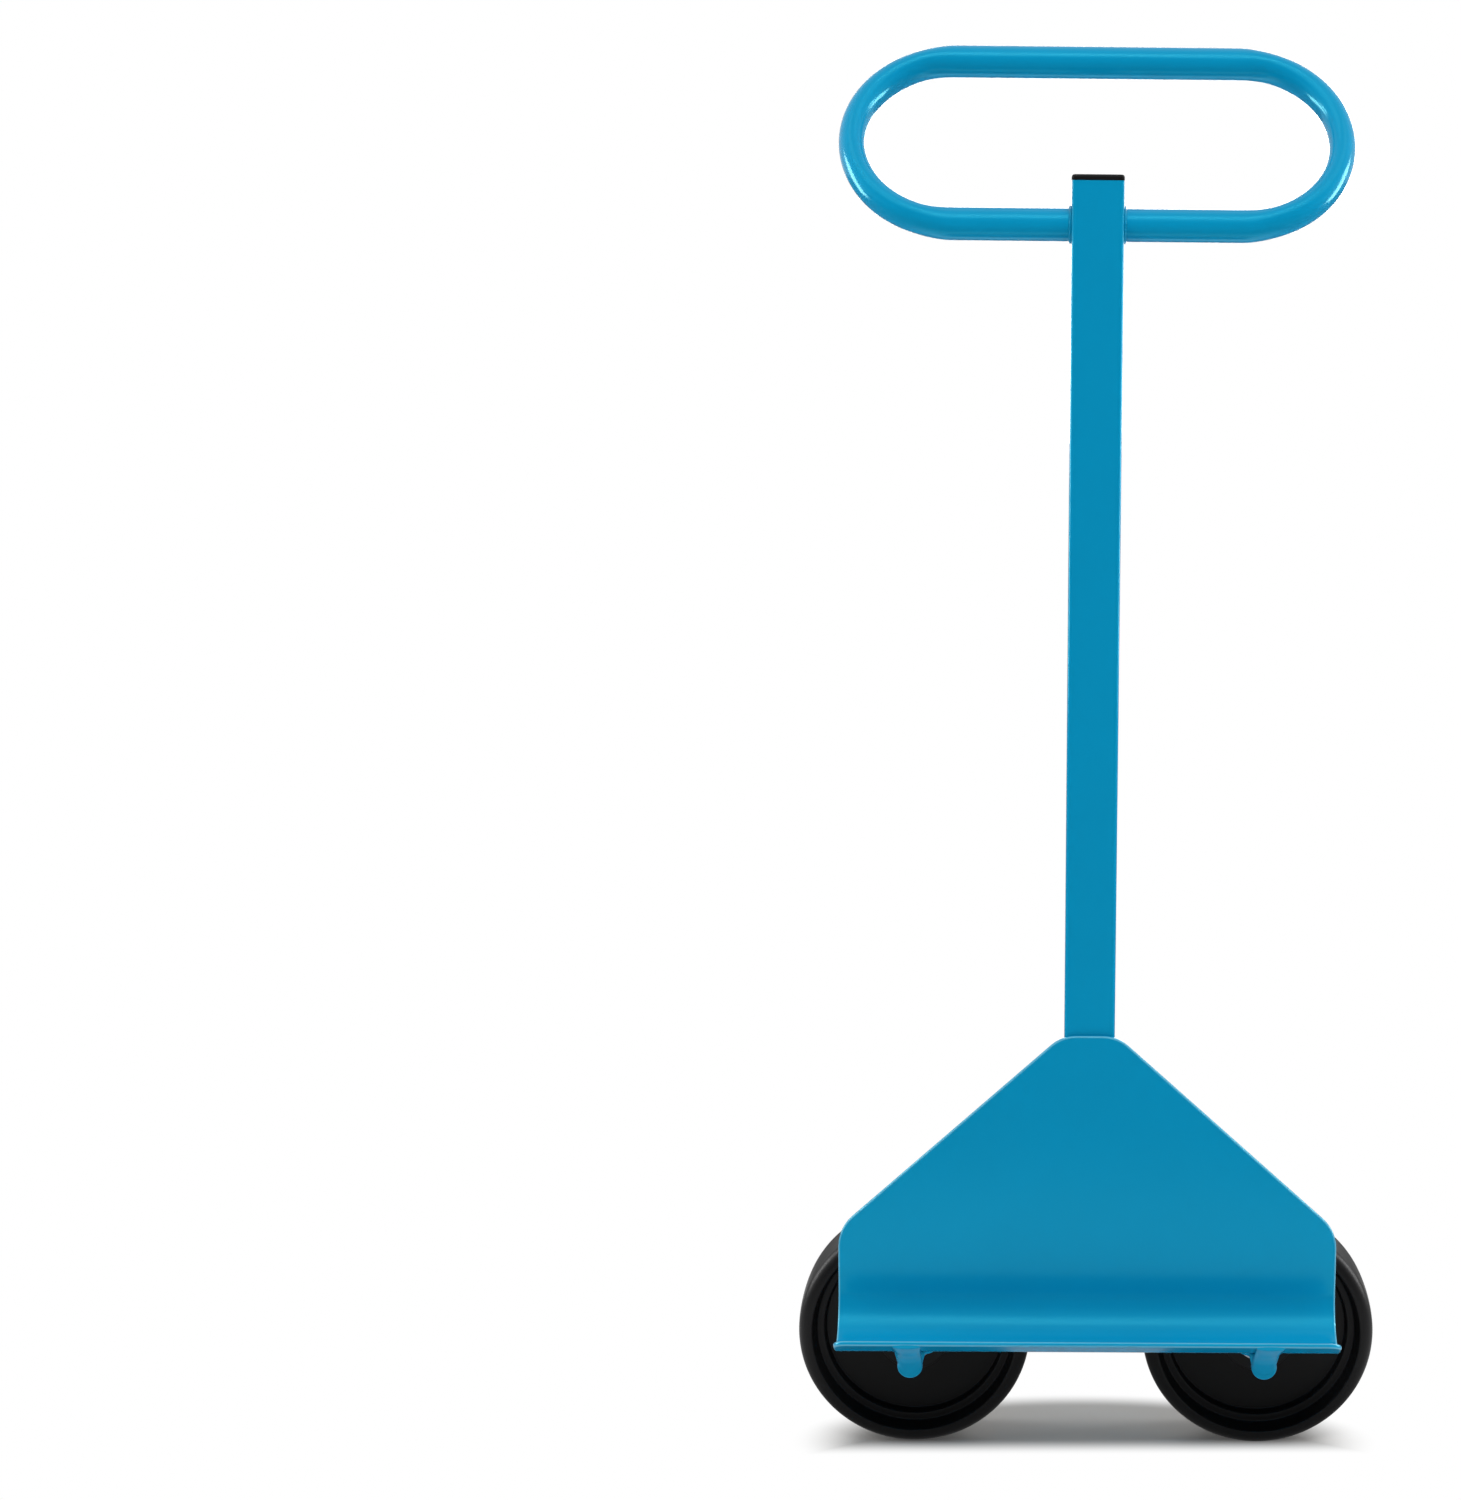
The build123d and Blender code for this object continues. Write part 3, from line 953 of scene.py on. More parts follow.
@dataclass
class CarrierPlate:
    """Sheet with a sloped top, rolled forward at its foot into a gutter."""

    thickness: float = 4.0 * MM
    gutter_inner_radius: float = 32.0 * MM
    gutter_turn: float = math.radians(121.0)
    lip: float = 22.0 * MM
    lip_corner: float = 11.0 * MM
    flat_height: float = 212.5 * MM
    shoulder_height: float = 52.0 * MM
    shoulder_round: float = 34.0 * MM
    apex_half: float = 22.0 * MM
    apex_round: float = 30.0 * MM
    edge_round: float = 1.6 * MM
    # Bending has pulled the sheet back a little above the gutter, over this length
    pull_back: float = 0.7 * MM
    pull_length: float = 28.0 * MM
    edge_steps: int = 4
    bend_rows: int = 40
    pull_rows: int = 18

    @property
    def bend_length(self) -> float:
        """Return the length of the gutter's arc along the sheet's middle."""
        return (self.gutter_inner_radius + self.thickness / 2) * self.gutter_turn

    @cached_property
    def bend_height(self) -> float:
        """Return the height at which the flat of the plate ends."""
        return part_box("carrier_plate")[1].z - self.flat_height

    @cached_property
    def front(self) -> float:
        """Return the depth of the plate's front face."""
        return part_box("carrier_plate")[1].y - self.thickness

    def underside(self, y: float) -> float:
        """Return the height of the gutter's underside.

        Args:
            y: Depth, between the lip's edge and the gutter's rear.

        Returns:
            Height above the floor.
        """
        radius = self.gutter_inner_radius + self.thickness
        centre_y = self.front - self.gutter_inner_radius + self.pull_back
        end_y = centre_y + radius * math.cos(self.gutter_turn)
        z = self.bend_height - math.sqrt(radius**2 - (max(y, end_y) - centre_y) ** 2)
        return z + max(end_y - y, 0.0) * math.tan(self.gutter_turn - math.pi / 2)

    def outline(self) -> list[Pair]:
        """Return the right edge of the unrolled sheet.

        Returns:
            Half width and length along the sheet, from the lip's edge to the apex.
        """
        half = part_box("carrier_plate")[1].x
        foot = self.lip + self.bend_length
        top = foot + self.flat_height
        path = rounded_path(
            [
                (0.0, 0.0, 0.0),
                (half, 0.0, self.lip_corner),
                (half, foot + self.shoulder_height, self.shoulder_round),
                (self.apex_half, top, self.apex_round),
                (0.0, top, 0.0),
            ]
        )
        return path[1:-1]

    def stations(self) -> list[float]:
        """Return where rows of the mesh lie, closer where the sheet bends.

        Returns:
            Lengths from the lip's edge.
        """
        foot = self.lip + self.bend_length
        bend = [self.bend_length * step / self.bend_rows for step in range(self.bend_rows + 1)]
        pull = [self.pull_length * step / self.pull_rows for step in range(1, self.pull_rows + 1)]
        return [self.lip + length for length in bend] + [foot + length for length in pull]

    def flat_sheet(self) -> bmesh.types.BMesh:
        """Cut out the sheet, round its edges and part its faces into rows that can bend.

        Returns:
            Sheet with its width along X, its length along Y and its front along Z.
        """
        right = self.outline()
        around = right + [(-x, length) for x, length in reversed(right)]
        sheet = bmesh.new()
        back, front = (
            [sheet.verts.new((x, length, out)) for x, length in around]
            for out in (-self.thickness / 2, self.thickness / 2)
        )
        sides = [sheet.faces.new(back[::-1]), sheet.faces.new(front)]
        for number in range(len(around)):
            sheet.faces.new((back[number - 1], back[number], front[number], front[number - 1]))
        sheet.normal_update()
        bmesh.ops.bevel(
            sheet,
            geom=[edge for side in sides for edge in side.edges],
            offset=self.edge_round,
            offset_type="OFFSET",
            segments=self.edge_steps,
            profile=ROUND_PROFILE,
            affect="EDGES",
            clamp_overlap=False,
        )
        for station in self.stations():
            bmesh.ops.bisect_plane(
                sheet,
                geom=[*sheet.verts, *sheet.edges, *sheet.faces],
                dist=MERGE_DISTANCE,
                plane_co=(0.0, station, 0.0),
                plane_no=(0.0, 1.0, 0.0),
            )
        return sheet

    def place(self, x: float, length: float, out: float) -> Vector:
        """Roll a point of the flat sheet into the bent one.

        Args:
            x: Place across the sheet.
            length: Place along it, from the lip's edge.
            out: Distance in front of the sheet's middle.

        Returns:
            Place in the cart's frame.
        """
        middle = self.gutter_inner_radius + self.thickness / 2
        radius = middle - out
        along_bend = length - self.lip
        above = along_bend - self.bend_length
        pull = self.pull_back * (1.0 - smoothstep(above / self.pull_length))
        centre_y = self.front - self.gutter_inner_radius + pull
        if above > 0.0:
            return Vector((x, centre_y + radius, self.bend_height + above))
        turn = self.gutter_turn - max(along_bend, 0.0) / middle
        y = centre_y + radius * math.cos(turn)
        z = self.bend_height - radius * math.sin(turn)
        if along_bend < 0.0:
            y += along_bend * math.sin(turn)
            z += along_bend * math.cos(turn)
        return Vector((x, y, z))

    def paint_thinness_and_sheen(self, out: float) -> float:
        """Return the share of thin paint and painted highlight: most mid-way round an edge.

        Args:
            out: Distance in front of the sheet's middle.

        Returns:
            Share from 0 on the flats to 1 in the middle of the rounding.
        """
        rise = 1.0 - (self.thickness / 2 - abs(out)) / self.edge_round
        turn = math.asin(min(max(rise, 0.0), 1.0))
        return math.sin(2.0 * turn) ** 2

    def build(self) -> None:
        """Build and dress the sheet."""
        sheet = self.flat_sheet()
        # Pale along the rounded edges: thin paint, with a painted highlight of the edges
        thin = sheet.verts.layers.float.new(THIN_PAINT_AND_EDGE_SHEEN)
        for point in sheet.verts:
            point[thin] = self.paint_thinness_and_sheen(point.co.z)
            point.co = self.place(*point.co)
        plate = shape_object("carrier_plate_skin", sheet)
        weigh_normals(plate)
        settle(plate, PAINT, Body.FRAME, "carrier_plate")


@dataclass
class WeldSeams:
    """Weld beads, laid as overlapping drops and softened by the paint on them."""

    voxel: float = 0.55 * MM
    smoothing: int = 8
    softness: float = 0.5
    jitter: float = 0.12
    drop_pitch: float = 2.6 * MM
    drop_subdivisions: int = 3
    # Ring round the handle's tube, in shares of the fillet's leg: its distance from the post,
    # its depth below the fillet's rim, and the radius of its drops
    ring_out: float = 0.3
    ring_depth: float = 0.7
    ring_drop: float = 0.52
    ring_steps: int = 48
    # The seams beside the post are thin: the drops' radius and distance from the walls, and
    # the share of that radius at the lower and upper end, reached over so many radii
    post_pitch: float = 2.4 * MM
    post_drop: float = 1.9 * MM
    post_drop_offset: float = 0.7 * MM
    post_ends: Pair = (0.8, 0.7)
    post_taper: float = 3.0
    # Ovals of the fill from a bar's front end up to the lip: how far each lies ahead of
    # the bar's end, how far it hangs below the gutter, and its half width
    tongue: tuple[Triple, ...] = (
        (-5.0 * MM, 18.0 * MM, 9.4 * MM),
        (0.4 * MM, 17.5 * MM, 9.5 * MM),
        (1.8 * MM, 14.0 * MM, 9.5 * MM),
        (3.5 * MM, 10.4 * MM, 9.6 * MM),
        (7.0 * MM, 7.4 * MM, 9.9 * MM),
        (11.0 * MM, 5.6 * MM, 10.3 * MM),
        (16.0 * MM, 4.4 * MM, 10.8 * MM),
        (20.0 * MM, 3.4 * MM, 11.2 * MM),
        (24.0 * MM, 2.4 * MM, 11.4 * MM),
    )
    # How far the fill reaches up into the sheet, and how far it drifts outwards up to the
    # lip, on the left and on the right
    tongue_sink: float = 2.0 * MM
    tongue_flare: Pair = (1.8 * MM, 3.4 * MM)
    tongue_facets: int = 48
    # Rows at both sides of a bar: how far they lie behind its front end, how far they reach
    # inwards and outwards from its middle, the radius of their first and last drop, and how
    # far a drop is sunk below the gutter and where the rows start, in shares of the drop's
    # and of the bar's radius
    wing_rows: tuple[float, ...] = (7.0 * MM, 10.0 * MM, 14.0 * MM, 18.0 * MM, 22.0 * MM)
    wing_reach: Pair = (-17.0 * MM, 13.6 * MM)
    wing_drops: Pair = (3.2 * MM, 1.3 * MM)
    wing_sink: float = 0.3
    wing_start: float = 0.9
    wing_steps: int = 8
    paint_film: float = 0.12 * MM
    bar_end_round: float = 1.5 * MM
    bar_end_length: float = 12.0 * MM
    bar_facets: int = 64

    @cached_property
    def drops(self) -> NodeShape:
        """Make the tree that lays drops of metal along a path.

        Returns:
            The tree.
        """
        made = NodeShape(
            "drops_along_a_seam",
            {"Pitch": "Float", "Jitter": "Float", "Seed": "Int"},
        )
        add, source = made.add, made.source
        line = add("GeometryNodeMeshToCurve", {"Mesh": source["Geometry"]})
        spaced = add(
            "GeometryNodeResampleCurve", {"Curve": line, "Length": source["Pitch"]}, mode="LENGTH"
        )
        size = add("GeometryNodeInputNamedAttribute", {"Name": "size"}, data_type="FLOAT")
        chance = add(
            "FunctionNodeRandomValue",
            {NUMBER_A: -1.0, NUMBER_B: 1.0, "Seed": source["Seed"]},
            data_type="FLOAT",
        )
        change = add(
            "ShaderNodeMath",
            {0: chance.outputs[RANDOM_OUT], 1: source["Jitter"], 2: 1.0},
            operation="MULTIPLY_ADD",
        )
        scale = add("ShaderNodeMath", {0: size, 1: change}, operation="MULTIPLY")
        drop = add(
            "GeometryNodeMeshIcoSphere", {"Radius": 1.0, "Subdivisions": self.drop_subdivisions}
        )
        laid = add(
            "GeometryNodeInstanceOnPoints", {"Points": spaced, "Instance": drop, "Scale": scale}
        )
        made.close(laid, PAINT)
        return made

    def lay(
        self,
        name: str,
        node: str,
        runs: Sequence[Drops],
        pitch: float,
        cores: Sequence[bpy.types.Object] = (),
        on_solid: bool = True,
    ) -> None:
        """Lay drops along paths, melt them into a solid and dress the result.

        Args:
            name: Name of the piece.
            node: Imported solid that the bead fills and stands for.
            runs: Paths of the torch, as places with the drop's radius there.
            pitch: Distance from drop to drop.
            cores: Shapes that the bead has run over and taken in.
            on_solid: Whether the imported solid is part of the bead.
        """
        shape = bmesh.new()
        if on_solid:
            shape.from_mesh(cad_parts[node].data)
        taken_in = list(cores)
        for number, run in enumerate(runs):
            places = [place for place, size in run]
            sizes = [size for place, size in run]
            laid = path_object(f"{name}_drops", places, "size", sizes)
            self.drops.shape(laid, Pitch=pitch, Jitter=self.jitter, Seed=number)
            taken_in.append(laid)
        for part in taken_in:
            shape.from_mesh(part.data)
            bpy.data.objects.remove(part)
        bmesh.ops.remove_doubles(shape, verts=shape.verts, dist=MERGE_DISTANCE)
        bead = shape_object(name, shape)
        melt = bead.modifiers.new("melted_together", "REMESH")
        melt.mode = "VOXEL"
        melt.voxel_size = self.voxel
        soften = bead.modifiers.new("softened_by_paint", "SMOOTH")
        soften.factor = self.softness
        soften.iterations = self.smoothing
        apply_modifiers(bead)
        bead.data.shade_smooth()
        settle(bead, PAINT, Body.FRAME, node)

    def build(self) -> None:
        """Build and dress all beads."""
        for side in Side:
            self.build_handle_weld(side)
            self.build_post_weld(side)
            self.build_axle_weld(side)

    def build_handle_weld(self, side: Side) -> None:
        """Lay the ring round the handle's tube on one side of the post.

        Args:
            side: Which side.
        """
        node = f"{side.value}_handle_weld"
        low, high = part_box(node)
        wall = low.x if side is Side.RIGHT else high.x
        leg = high.x - low.x
        middle = (low + high) / 2
        middle.x = wall + side.sign * leg * self.ring_out
        radius = (high.z - low.z) / 2 - leg * self.ring_depth
        ring = [
            (middle + Vector((0.0, back, up)) * radius, leg * self.ring_drop)
            for back, up in directions(0.0, math.tau, self.ring_steps)
        ]
        self.lay(f"{side.value}_handle_bead", node, [ring], self.drop_pitch)

    def build_post_weld(self, side: Side) -> None:
        """Lay the seam between one side of the post and the plate.

        Args:
            side: Which side.
        """
        node = f"{side.value}_post_weld"
        low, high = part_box(node)
        size, offset = self.post_drop, self.post_drop_offset
        x = (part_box("post_tube")[1].x + offset) * side.sign
        full = self.post_taper * size
        heights = (low.z + size, low.z + full, high.z - full, high.z - size)
        shares = (self.post_ends[0], 1.0, 1.0, self.post_ends[1])
        run = [
            (Vector((x, low.y + offset, z)), size * share) for z, share in zip(heights, shares)
        ]
        self.lay(f"{side.value}_post_bead", node, [run], self.post_pitch, on_solid=False)

    def build_axle_weld(self, side: Side) -> None:
        """Weld one bar to the gutter: over its front end to the lip, and along both sides.

        Args:
            side: Which bar.
        """
        node = f"{side.value}_axle_weld"
        plate = CarrierPlate()
        low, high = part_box(f"{side.value}_axle")
        bar_x = (low.x + high.x) / 2
        radius = (high.z - low.z) / 2
        runs = [
            self.wing(
                plate,
                bar_x + math.copysign(self.wing_start * radius, side.sign * reach),
                bar_x + side.sign * reach,
                low.y + behind,
            )
            for behind in self.wing_rows
            for reach in self.wing_reach
        ]
        skin = radius + self.paint_film
        corners = [
            (0.0, 0.0, 0.0),
            (skin, 0.0, self.bar_end_round),
            (skin, self.bar_end_length, self.paint_film),
            (0.0, self.bar_end_length, 0.0),
        ]
        start = Vector((bar_x, low.y - self.paint_film, (low.z + high.z) / 2))
        section = rounded_path(corners)[1:-1]
        bar_end = lathe("bar_end", section, start, self.bar_facets, closed=False)
        cores = [bar_end, self.build_tongue(side, start, plate)]
        self.lay(f"{side.value}_axle_bead", node, runs, self.drop_pitch, cores)

    def wing(self, plate: CarrierPlate, near: float, far: float, y: float) -> Drops:
        """Return one row of drops under the gutter, which grow smaller away from a bar.

        Args:
            plate: The plate above the row.
            near: Where the row starts, across the cart.
            far: Where it ends.
            y: Its depth.

        Returns:
            Places with the drop's radius there.
        """
        first, last = self.wing_drops
        run = []
        for step in range(self.wing_steps + 1):
            share = step / self.wing_steps
            size = first + (last - first) * share
            z = plate.underside(y) - self.wing_sink * size
            run.append((Vector((near + (far - near) * share, y, z)), size))
        return run

    def build_tongue(self, side: Side, start: Vector, plate: CarrierPlate) -> bpy.types.Object:
        """Fill the space from a bar's front end up to the gutter's lip.

        Args:
            side: Which bar.
            start: Middle of the bar's front end.
            plate: The plate above it.

        Returns:
            The fill, as a row of ovals that grow flatter towards the lip.
        """
        flare = self.tongue_flare[side is Side.RIGHT]
        longest = self.tongue[-1][0]
        points = []
        for ahead, hang, half in self.tongue:
            y = start.y - ahead
            top = plate.underside(y) + self.tongue_sink
            rise = (hang + self.tongue_sink) / 2
            x = start.x + side.sign * flare * max(ahead / longest, 0.0)
            for wide, high in directions(0.0, math.tau, self.tongue_facets)[:-1]:
                points.append((x + half * wide, y, top - rise + rise * high))
        faces = loft_faces(len(self.tongue), self.tongue_facets, closed=False)
        return mesh_object("tongue", points, faces)


@dataclass
class WheelUnit:
    """One wheel with its bearing, bar, washers and split pin."""

    side: Side
    tread_edge: float = 9.5 * MM
    rim_width: float = 56.0 * MM
    rim_wall: float = 12.0 * MM
    rim_draft: float = 3.0 * MM
    ledge_depth: float = 15.0 * MM
    ledge_width: float = 6.0 * MM
    ledge_draft: float = 1.0 * MM
    web: float = 8.0 * MM
    hub_end_radius: float = 29.0 * MM
    hub_draft: float = 3.5 * MM
    hub_edge: float = 1.2 * MM
    dish_edge: float = 1.5 * MM
    bore_radius: float = 15.16 * MM
    bore_edge: float = 0.6 * MM
    # The tread is crowned, from this far inside each of its edges
    crown: float = 1.2 * MM
    crown_inset: float = 14.25 * MM
    crown_steps: int = 8
    wheel_facets: int = 160
    bar_chamfer: float = 1.0 * MM
    bar_facets: int = 64
    washer_bore_radius: float = 10.5 * MM
    # Punching rounds the edges of a washer's one face more than those of the other
    washer_edges: Pair = (0.7 * MM, 0.7 * MM / 3)
    washer_facets: int = 96
    pin_radius: float = 2.3 * MM
    pin_hole_radius: float = 2.5 * MM
    drill_reach: float = 15.0 * MM
    drill_facets: int = 32
    roller_diameter: float = 5.0 * MM
    roller_edge: float = 0.5 * MM
    roller_count: int = 10
    roller_facets: int = 32

    def node(self, name: str) -> str:
        """Return the name of this side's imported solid."""
        return f"{self.side.value}_{name}"

    def build(self) -> None:
        """Build and dress everything on this side's bar."""
        self.build_wheel()
        self.build_bar()
        self.build_washers()
        self.build_rollers()
        SplitPin(self.side, self.pin_radius).build()
        dress(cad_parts[self.node("roller_cage")], CAGE_PLASTIC)

    def wheel_section(self, radius: float, hub_half: float) -> list[Pair]:
        """Return the wheel's section as radius and depth.

        Args:
            radius: Radius of the tread.
            hub_half: Half of the hub's length.

        Returns:
            A closed loop of points.
        """
        half = self.rim_width / 2
        rim = radius - self.rim_wall
        ledge = rim - self.rim_draft
        foot = ledge - self.ledge_width
        dish = self.dish_edge
        upper = [
            (self.bore_radius, hub_half, self.bore_edge),
            (self.hub_end_radius, hub_half, self.hub_edge),
            (self.hub_end_radius + self.hub_draft, self.web / 2, dish),
            (foot - self.ledge_draft, self.web / 2, dish),
            (foot, half - self.ledge_depth, dish),
            (ledge, half - self.ledge_depth, dish),
            (rim, half, dish),
            (radius - self.crown, half, self.tread_edge),
        ]
        lower = [(out, -depth, edge) for out, depth, edge in reversed(upper)]
        inner = half - self.crown_inset
        tread = []
        for step in range(self.crown_steps + 1):
            depth = inner - 2 * inner * step / self.crown_steps
            tread.append((radius - self.crown * (depth / half) ** 2, depth, 0.0))
        return rounded_path([*upper, *tread, *lower], closed=True)

    def build_wheel(self) -> None:
        """Build the wheel, dished on both sides."""
        node = self.node("wheel")
        middle, half = packed_box(node)
        section = self.wheel_section(half.x, half.y)
        wheel = lathe(f"{node}_moulding", section, middle, self.wheel_facets)
        weigh_normals(wheel)
        settle(wheel, WHEEL_PLASTIC, self.side.wheel_body, node)

    def build_bar(self) -> None:
        """Build the painted bar, with chamfered ends and a hole for the pin."""
        node = self.node("axle")
        middle, half = packed_box(node)
        radius, length, edge = half.x, half.y, self.bar_chamfer
        section = [
            (radius - edge, -length),
            (radius, edge - length),
            (radius, length - edge),
            (radius - edge, length),
        ]
        bar = lathe(f"{node}_bar", section, middle, self.bar_facets, closed=False)
        pin = SplitPin(self.side, self.pin_radius)
        drill = lathe(
            f"{node}_bar_drill",
            [(self.pin_hole_radius, -self.drill_reach), (self.pin_hole_radius, self.drill_reach)],
            pin.middle,
            self.drill_facets,
            closed=False,
            axis=pin.out,
        )
        cut = bar.modifiers.new("pin_hole", "BOOLEAN")
        cut.operation = "DIFFERENCE"
        cut.object = drill
        apply_modifiers(bar)
        bpy.data.objects.remove(drill)
        weigh_normals(bar)
        settle(bar, PAINT, Body.FRAME, node)

    def build_washers(self) -> None:
        """Build the stamped washers at both ends of the hub."""
        bore = self.washer_bore_radius
        outer_edge, inner_edge = self.washer_edges
        for place in ("inner", "outer"):
            node = self.node(f"{place}_washer")
            middle, half = packed_box(node)
            corners = [
                (bore, half.y, outer_edge),
                (half.x, half.y, outer_edge),
                (half.x, -half.y, inner_edge),
                (bore, -half.y, inner_edge),
            ]
            section = rounded_path(corners, closed=True)
            washer = lathe(f"{node}_ring", section, middle, self.washer_facets)
            weigh_normals(washer)
            settle(washer, ZINC_PLATE, Body.FRAME, node)

    def build_rollers(self) -> None:
        """Build one rounded roller and set its copies round the bar."""
        middle, half = packed_box(self.node("rollers"))
        radius = self.roller_diameter / 2
        corners = [
            (0.0, -half.y, 0.0),
            (radius, -half.y, self.roller_edge),
            (radius, half.y, self.roller_edge),
            (0.0, half.y, 0.0),
        ]
        section = rounded_path(corners)[1:-1]
        rollers = lathe(
            self.node("roller_set"), section, Vector(), self.roller_facets, closed=False
        )
        made = NodeShape(
            self.node("rollers_round_a_bar"),
            {"Count": "Int", "Pitch Radius": "Float", "Middle": "Vector"},
        )
        add, source = made.add, made.source
        ring = add(
            "GeometryNodeMeshCircle",
            {"Vertices": source["Count"], "Radius": source["Pitch Radius"]},
        )
        placed = add(
            "GeometryNodeTransform",
            {
                "Geometry": ring,
                "Translation": source["Middle"],
                "Rotation": (math.pi / 2, 0.0, 0.0),
            },
        )
        copies = add(
            "GeometryNodeInstanceOnPoints", {"Points": placed, "Instance": source["Geometry"]}
        )
        made.close(copies, GROUND_STEEL)
        made.shape(
            rollers, Count=self.roller_count, Pitch_Radius=half.x - radius, Middle=middle
        )
        settle(rollers, GROUND_STEEL, self.side.wheel_body, self.node("rollers"))


@dataclass(frozen=True)
class PinBend:
    """Where a pin's eye points, and for each leg its turn round the bar and its tip's length."""

    eye_degrees: float
    legs: tuple[Pair, Pair]


# Each pin was pushed in and bent by hand, so the two differ
PIN_BENDS = {
    Side.LEFT: PinBend(-20.0, ((-100.0, 8.0 * MM), (30.0, 18.0 * MM))),
    Side.RIGHT: PinBend(115.0, ((-60.0, 18.0 * MM), (105.0, 20.0 * MM))),
}


@dataclass
class SplitPin:
    """Half-round wire folded double: an eye, a shank of both halves, and two bent legs."""

    side: Side
    wire_radius: float
    eye_radius: float = 2.2 * MM
    eye_throat: float = 2.6 * MM
    eye_reach: float = 17.2 * MM
    # The tips lean away from the wheel, by this share of their length
    tip_lean: float = 0.45
    leg_bend: float = 3.2 * MM
    leg_lift: float = 0.3 * MM
    bar_radius: float = 10.0 * MM
    arc_steps: int = 10
    eye_steps: int = 40
    wire_steps: int = 12

    @property
    def out(self) -> Vector:
        """Return the direction of the eye from the bar's middle line."""
        angle = math.radians(PIN_BENDS[self.side].eye_degrees)
        return Vector((math.cos(angle), 0.0, math.sin(angle)))

    @property
    def middle(self) -> Vector:
        """Return the point where the pin crosses the bar's middle line.

        Returns:
            Place in the cart's frame.
        """
        bar = packed_box(f"{self.side.value}_axle")[0]
        pin = packed_box(f"{self.side.value}_split_pin")[0]
        return Vector((bar.x, pin.y, bar.z))

    def leg_path(self, turn: float, tip: float) -> list[Vector]:
        """Return one leg's flat side, from the shank outwards.

        Args:
            turn: Angle that the leg follows the bar, with its direction as sign.
            tip: Length of its straight end.

        Returns:
            Points in the pin's plane, where +X points to the eye.
        """
        way = 1.0 if turn < 0.0 else -1.0
        outside = self.bar_radius + self.leg_lift + self.wire_radius
        reach = math.sqrt((outside - self.leg_bend) ** 2 - self.leg_bend**2)
        bend = Vector((-reach, self.leg_bend))
        join = math.atan2(bend.y, bend.x)
        points = arc(bend, self.leg_bend, (-math.pi / 2, join - math.tau), self.arc_steps)
        end = math.pi - abs(turn)
        if end < join:
            points += arc(Vector((0.0, 0.0)), outside, (join, end), self.arc_steps)[1:]
        last = (points[-1] - points[-2]).normalized()
        points.append(points[-1] + last * tip)
        return [Vector((point.x, point.y * way)) for point in points]

    def path(self) -> list[Vector]:
        """Return the wire's flat side from one leg's tip round the eye to the other's.

        Returns:
            Points in the pin's plane, where +X points to the eye.
        """
        first, second = (
            self.leg_path(math.radians(turn), tip) for turn, tip in PIN_BENDS[self.side].legs
        )
        throat = math.sqrt(self.eye_radius**2 + 2 * self.eye_throat * self.eye_radius)
        centre = Vector((self.eye_reach, 0.0))
        flare = Vector((self.eye_reach - throat, self.eye_throat))
        meet = math.atan2(flare.y, flare.x - centre.x)
        rise = arc(flare, self.eye_throat, (-math.pi / 2, meet - math.pi), self.arc_steps)
        crown = arc(centre, self.eye_radius, (meet, -meet), self.eye_steps)[1:-1]
        fall = [Vector((point.x, -point.y)) for point in reversed(rise)]
        return [*reversed(first), *rise, *crown, *fall, *second]

    def build(self) -> None:
        """Sweep the half-round wire along its path and dress it."""
        node = f"{self.side.value}_split_pin"
        middle, out = self.middle, self.out
        up = Vector((-out.z, 0.0, out.x))
        path = self.path()
        section = directions(0.0, math.pi, self.wire_steps)
        points = []
        for spot, place in enumerate(path):
            back = path[max(spot - 1, 0)]
            ahead = path[min(spot + 1, len(path) - 1)]
            along = (ahead - back).normalized()
            normal = Vector((-along.y, along.x))
            lean = 0.0
            if spot in (0, len(path) - 1):
                lean = self.tip_lean * (ahead - back).length
            for wide, thick in section:
                flat = place + normal * (self.wire_radius * thick)
                off = Vector((0.0, self.wire_radius * wide + lean, 0.0))
                points.append(middle + out * flat.x + up * flat.y + off)
        pin = mesh_object(f"{node}_wire", points, loft_faces(len(path), len(section), closed=False))
        weigh_normals(pin)
        settle(pin, ZINC_PLATE, Body.FRAME, node)


# Studio


@dataclass(frozen=True)
class Lamp:
    """A softbox: where it stands, in degrees and metres, how large it is and how bright.

    Its level is the brightness that it gives to a white card that faces it.
    """

    name: str
    azimuth: float
    elevation: float
    distance: float
    width: float
    height: float
    level: float
    mirrored: bool = True

    @property
    def power(self) -> float:
        """Return the power that gives this level on a card that faces the lamp."""
        return self.level * (math.pi * self.distance) ** 2

    @property
    def way(self) -> Vector:
        """Return the direction from the cart to the lamp."""
        return bearing(math.radians(self.azimuth), math.radians(self.elevation))


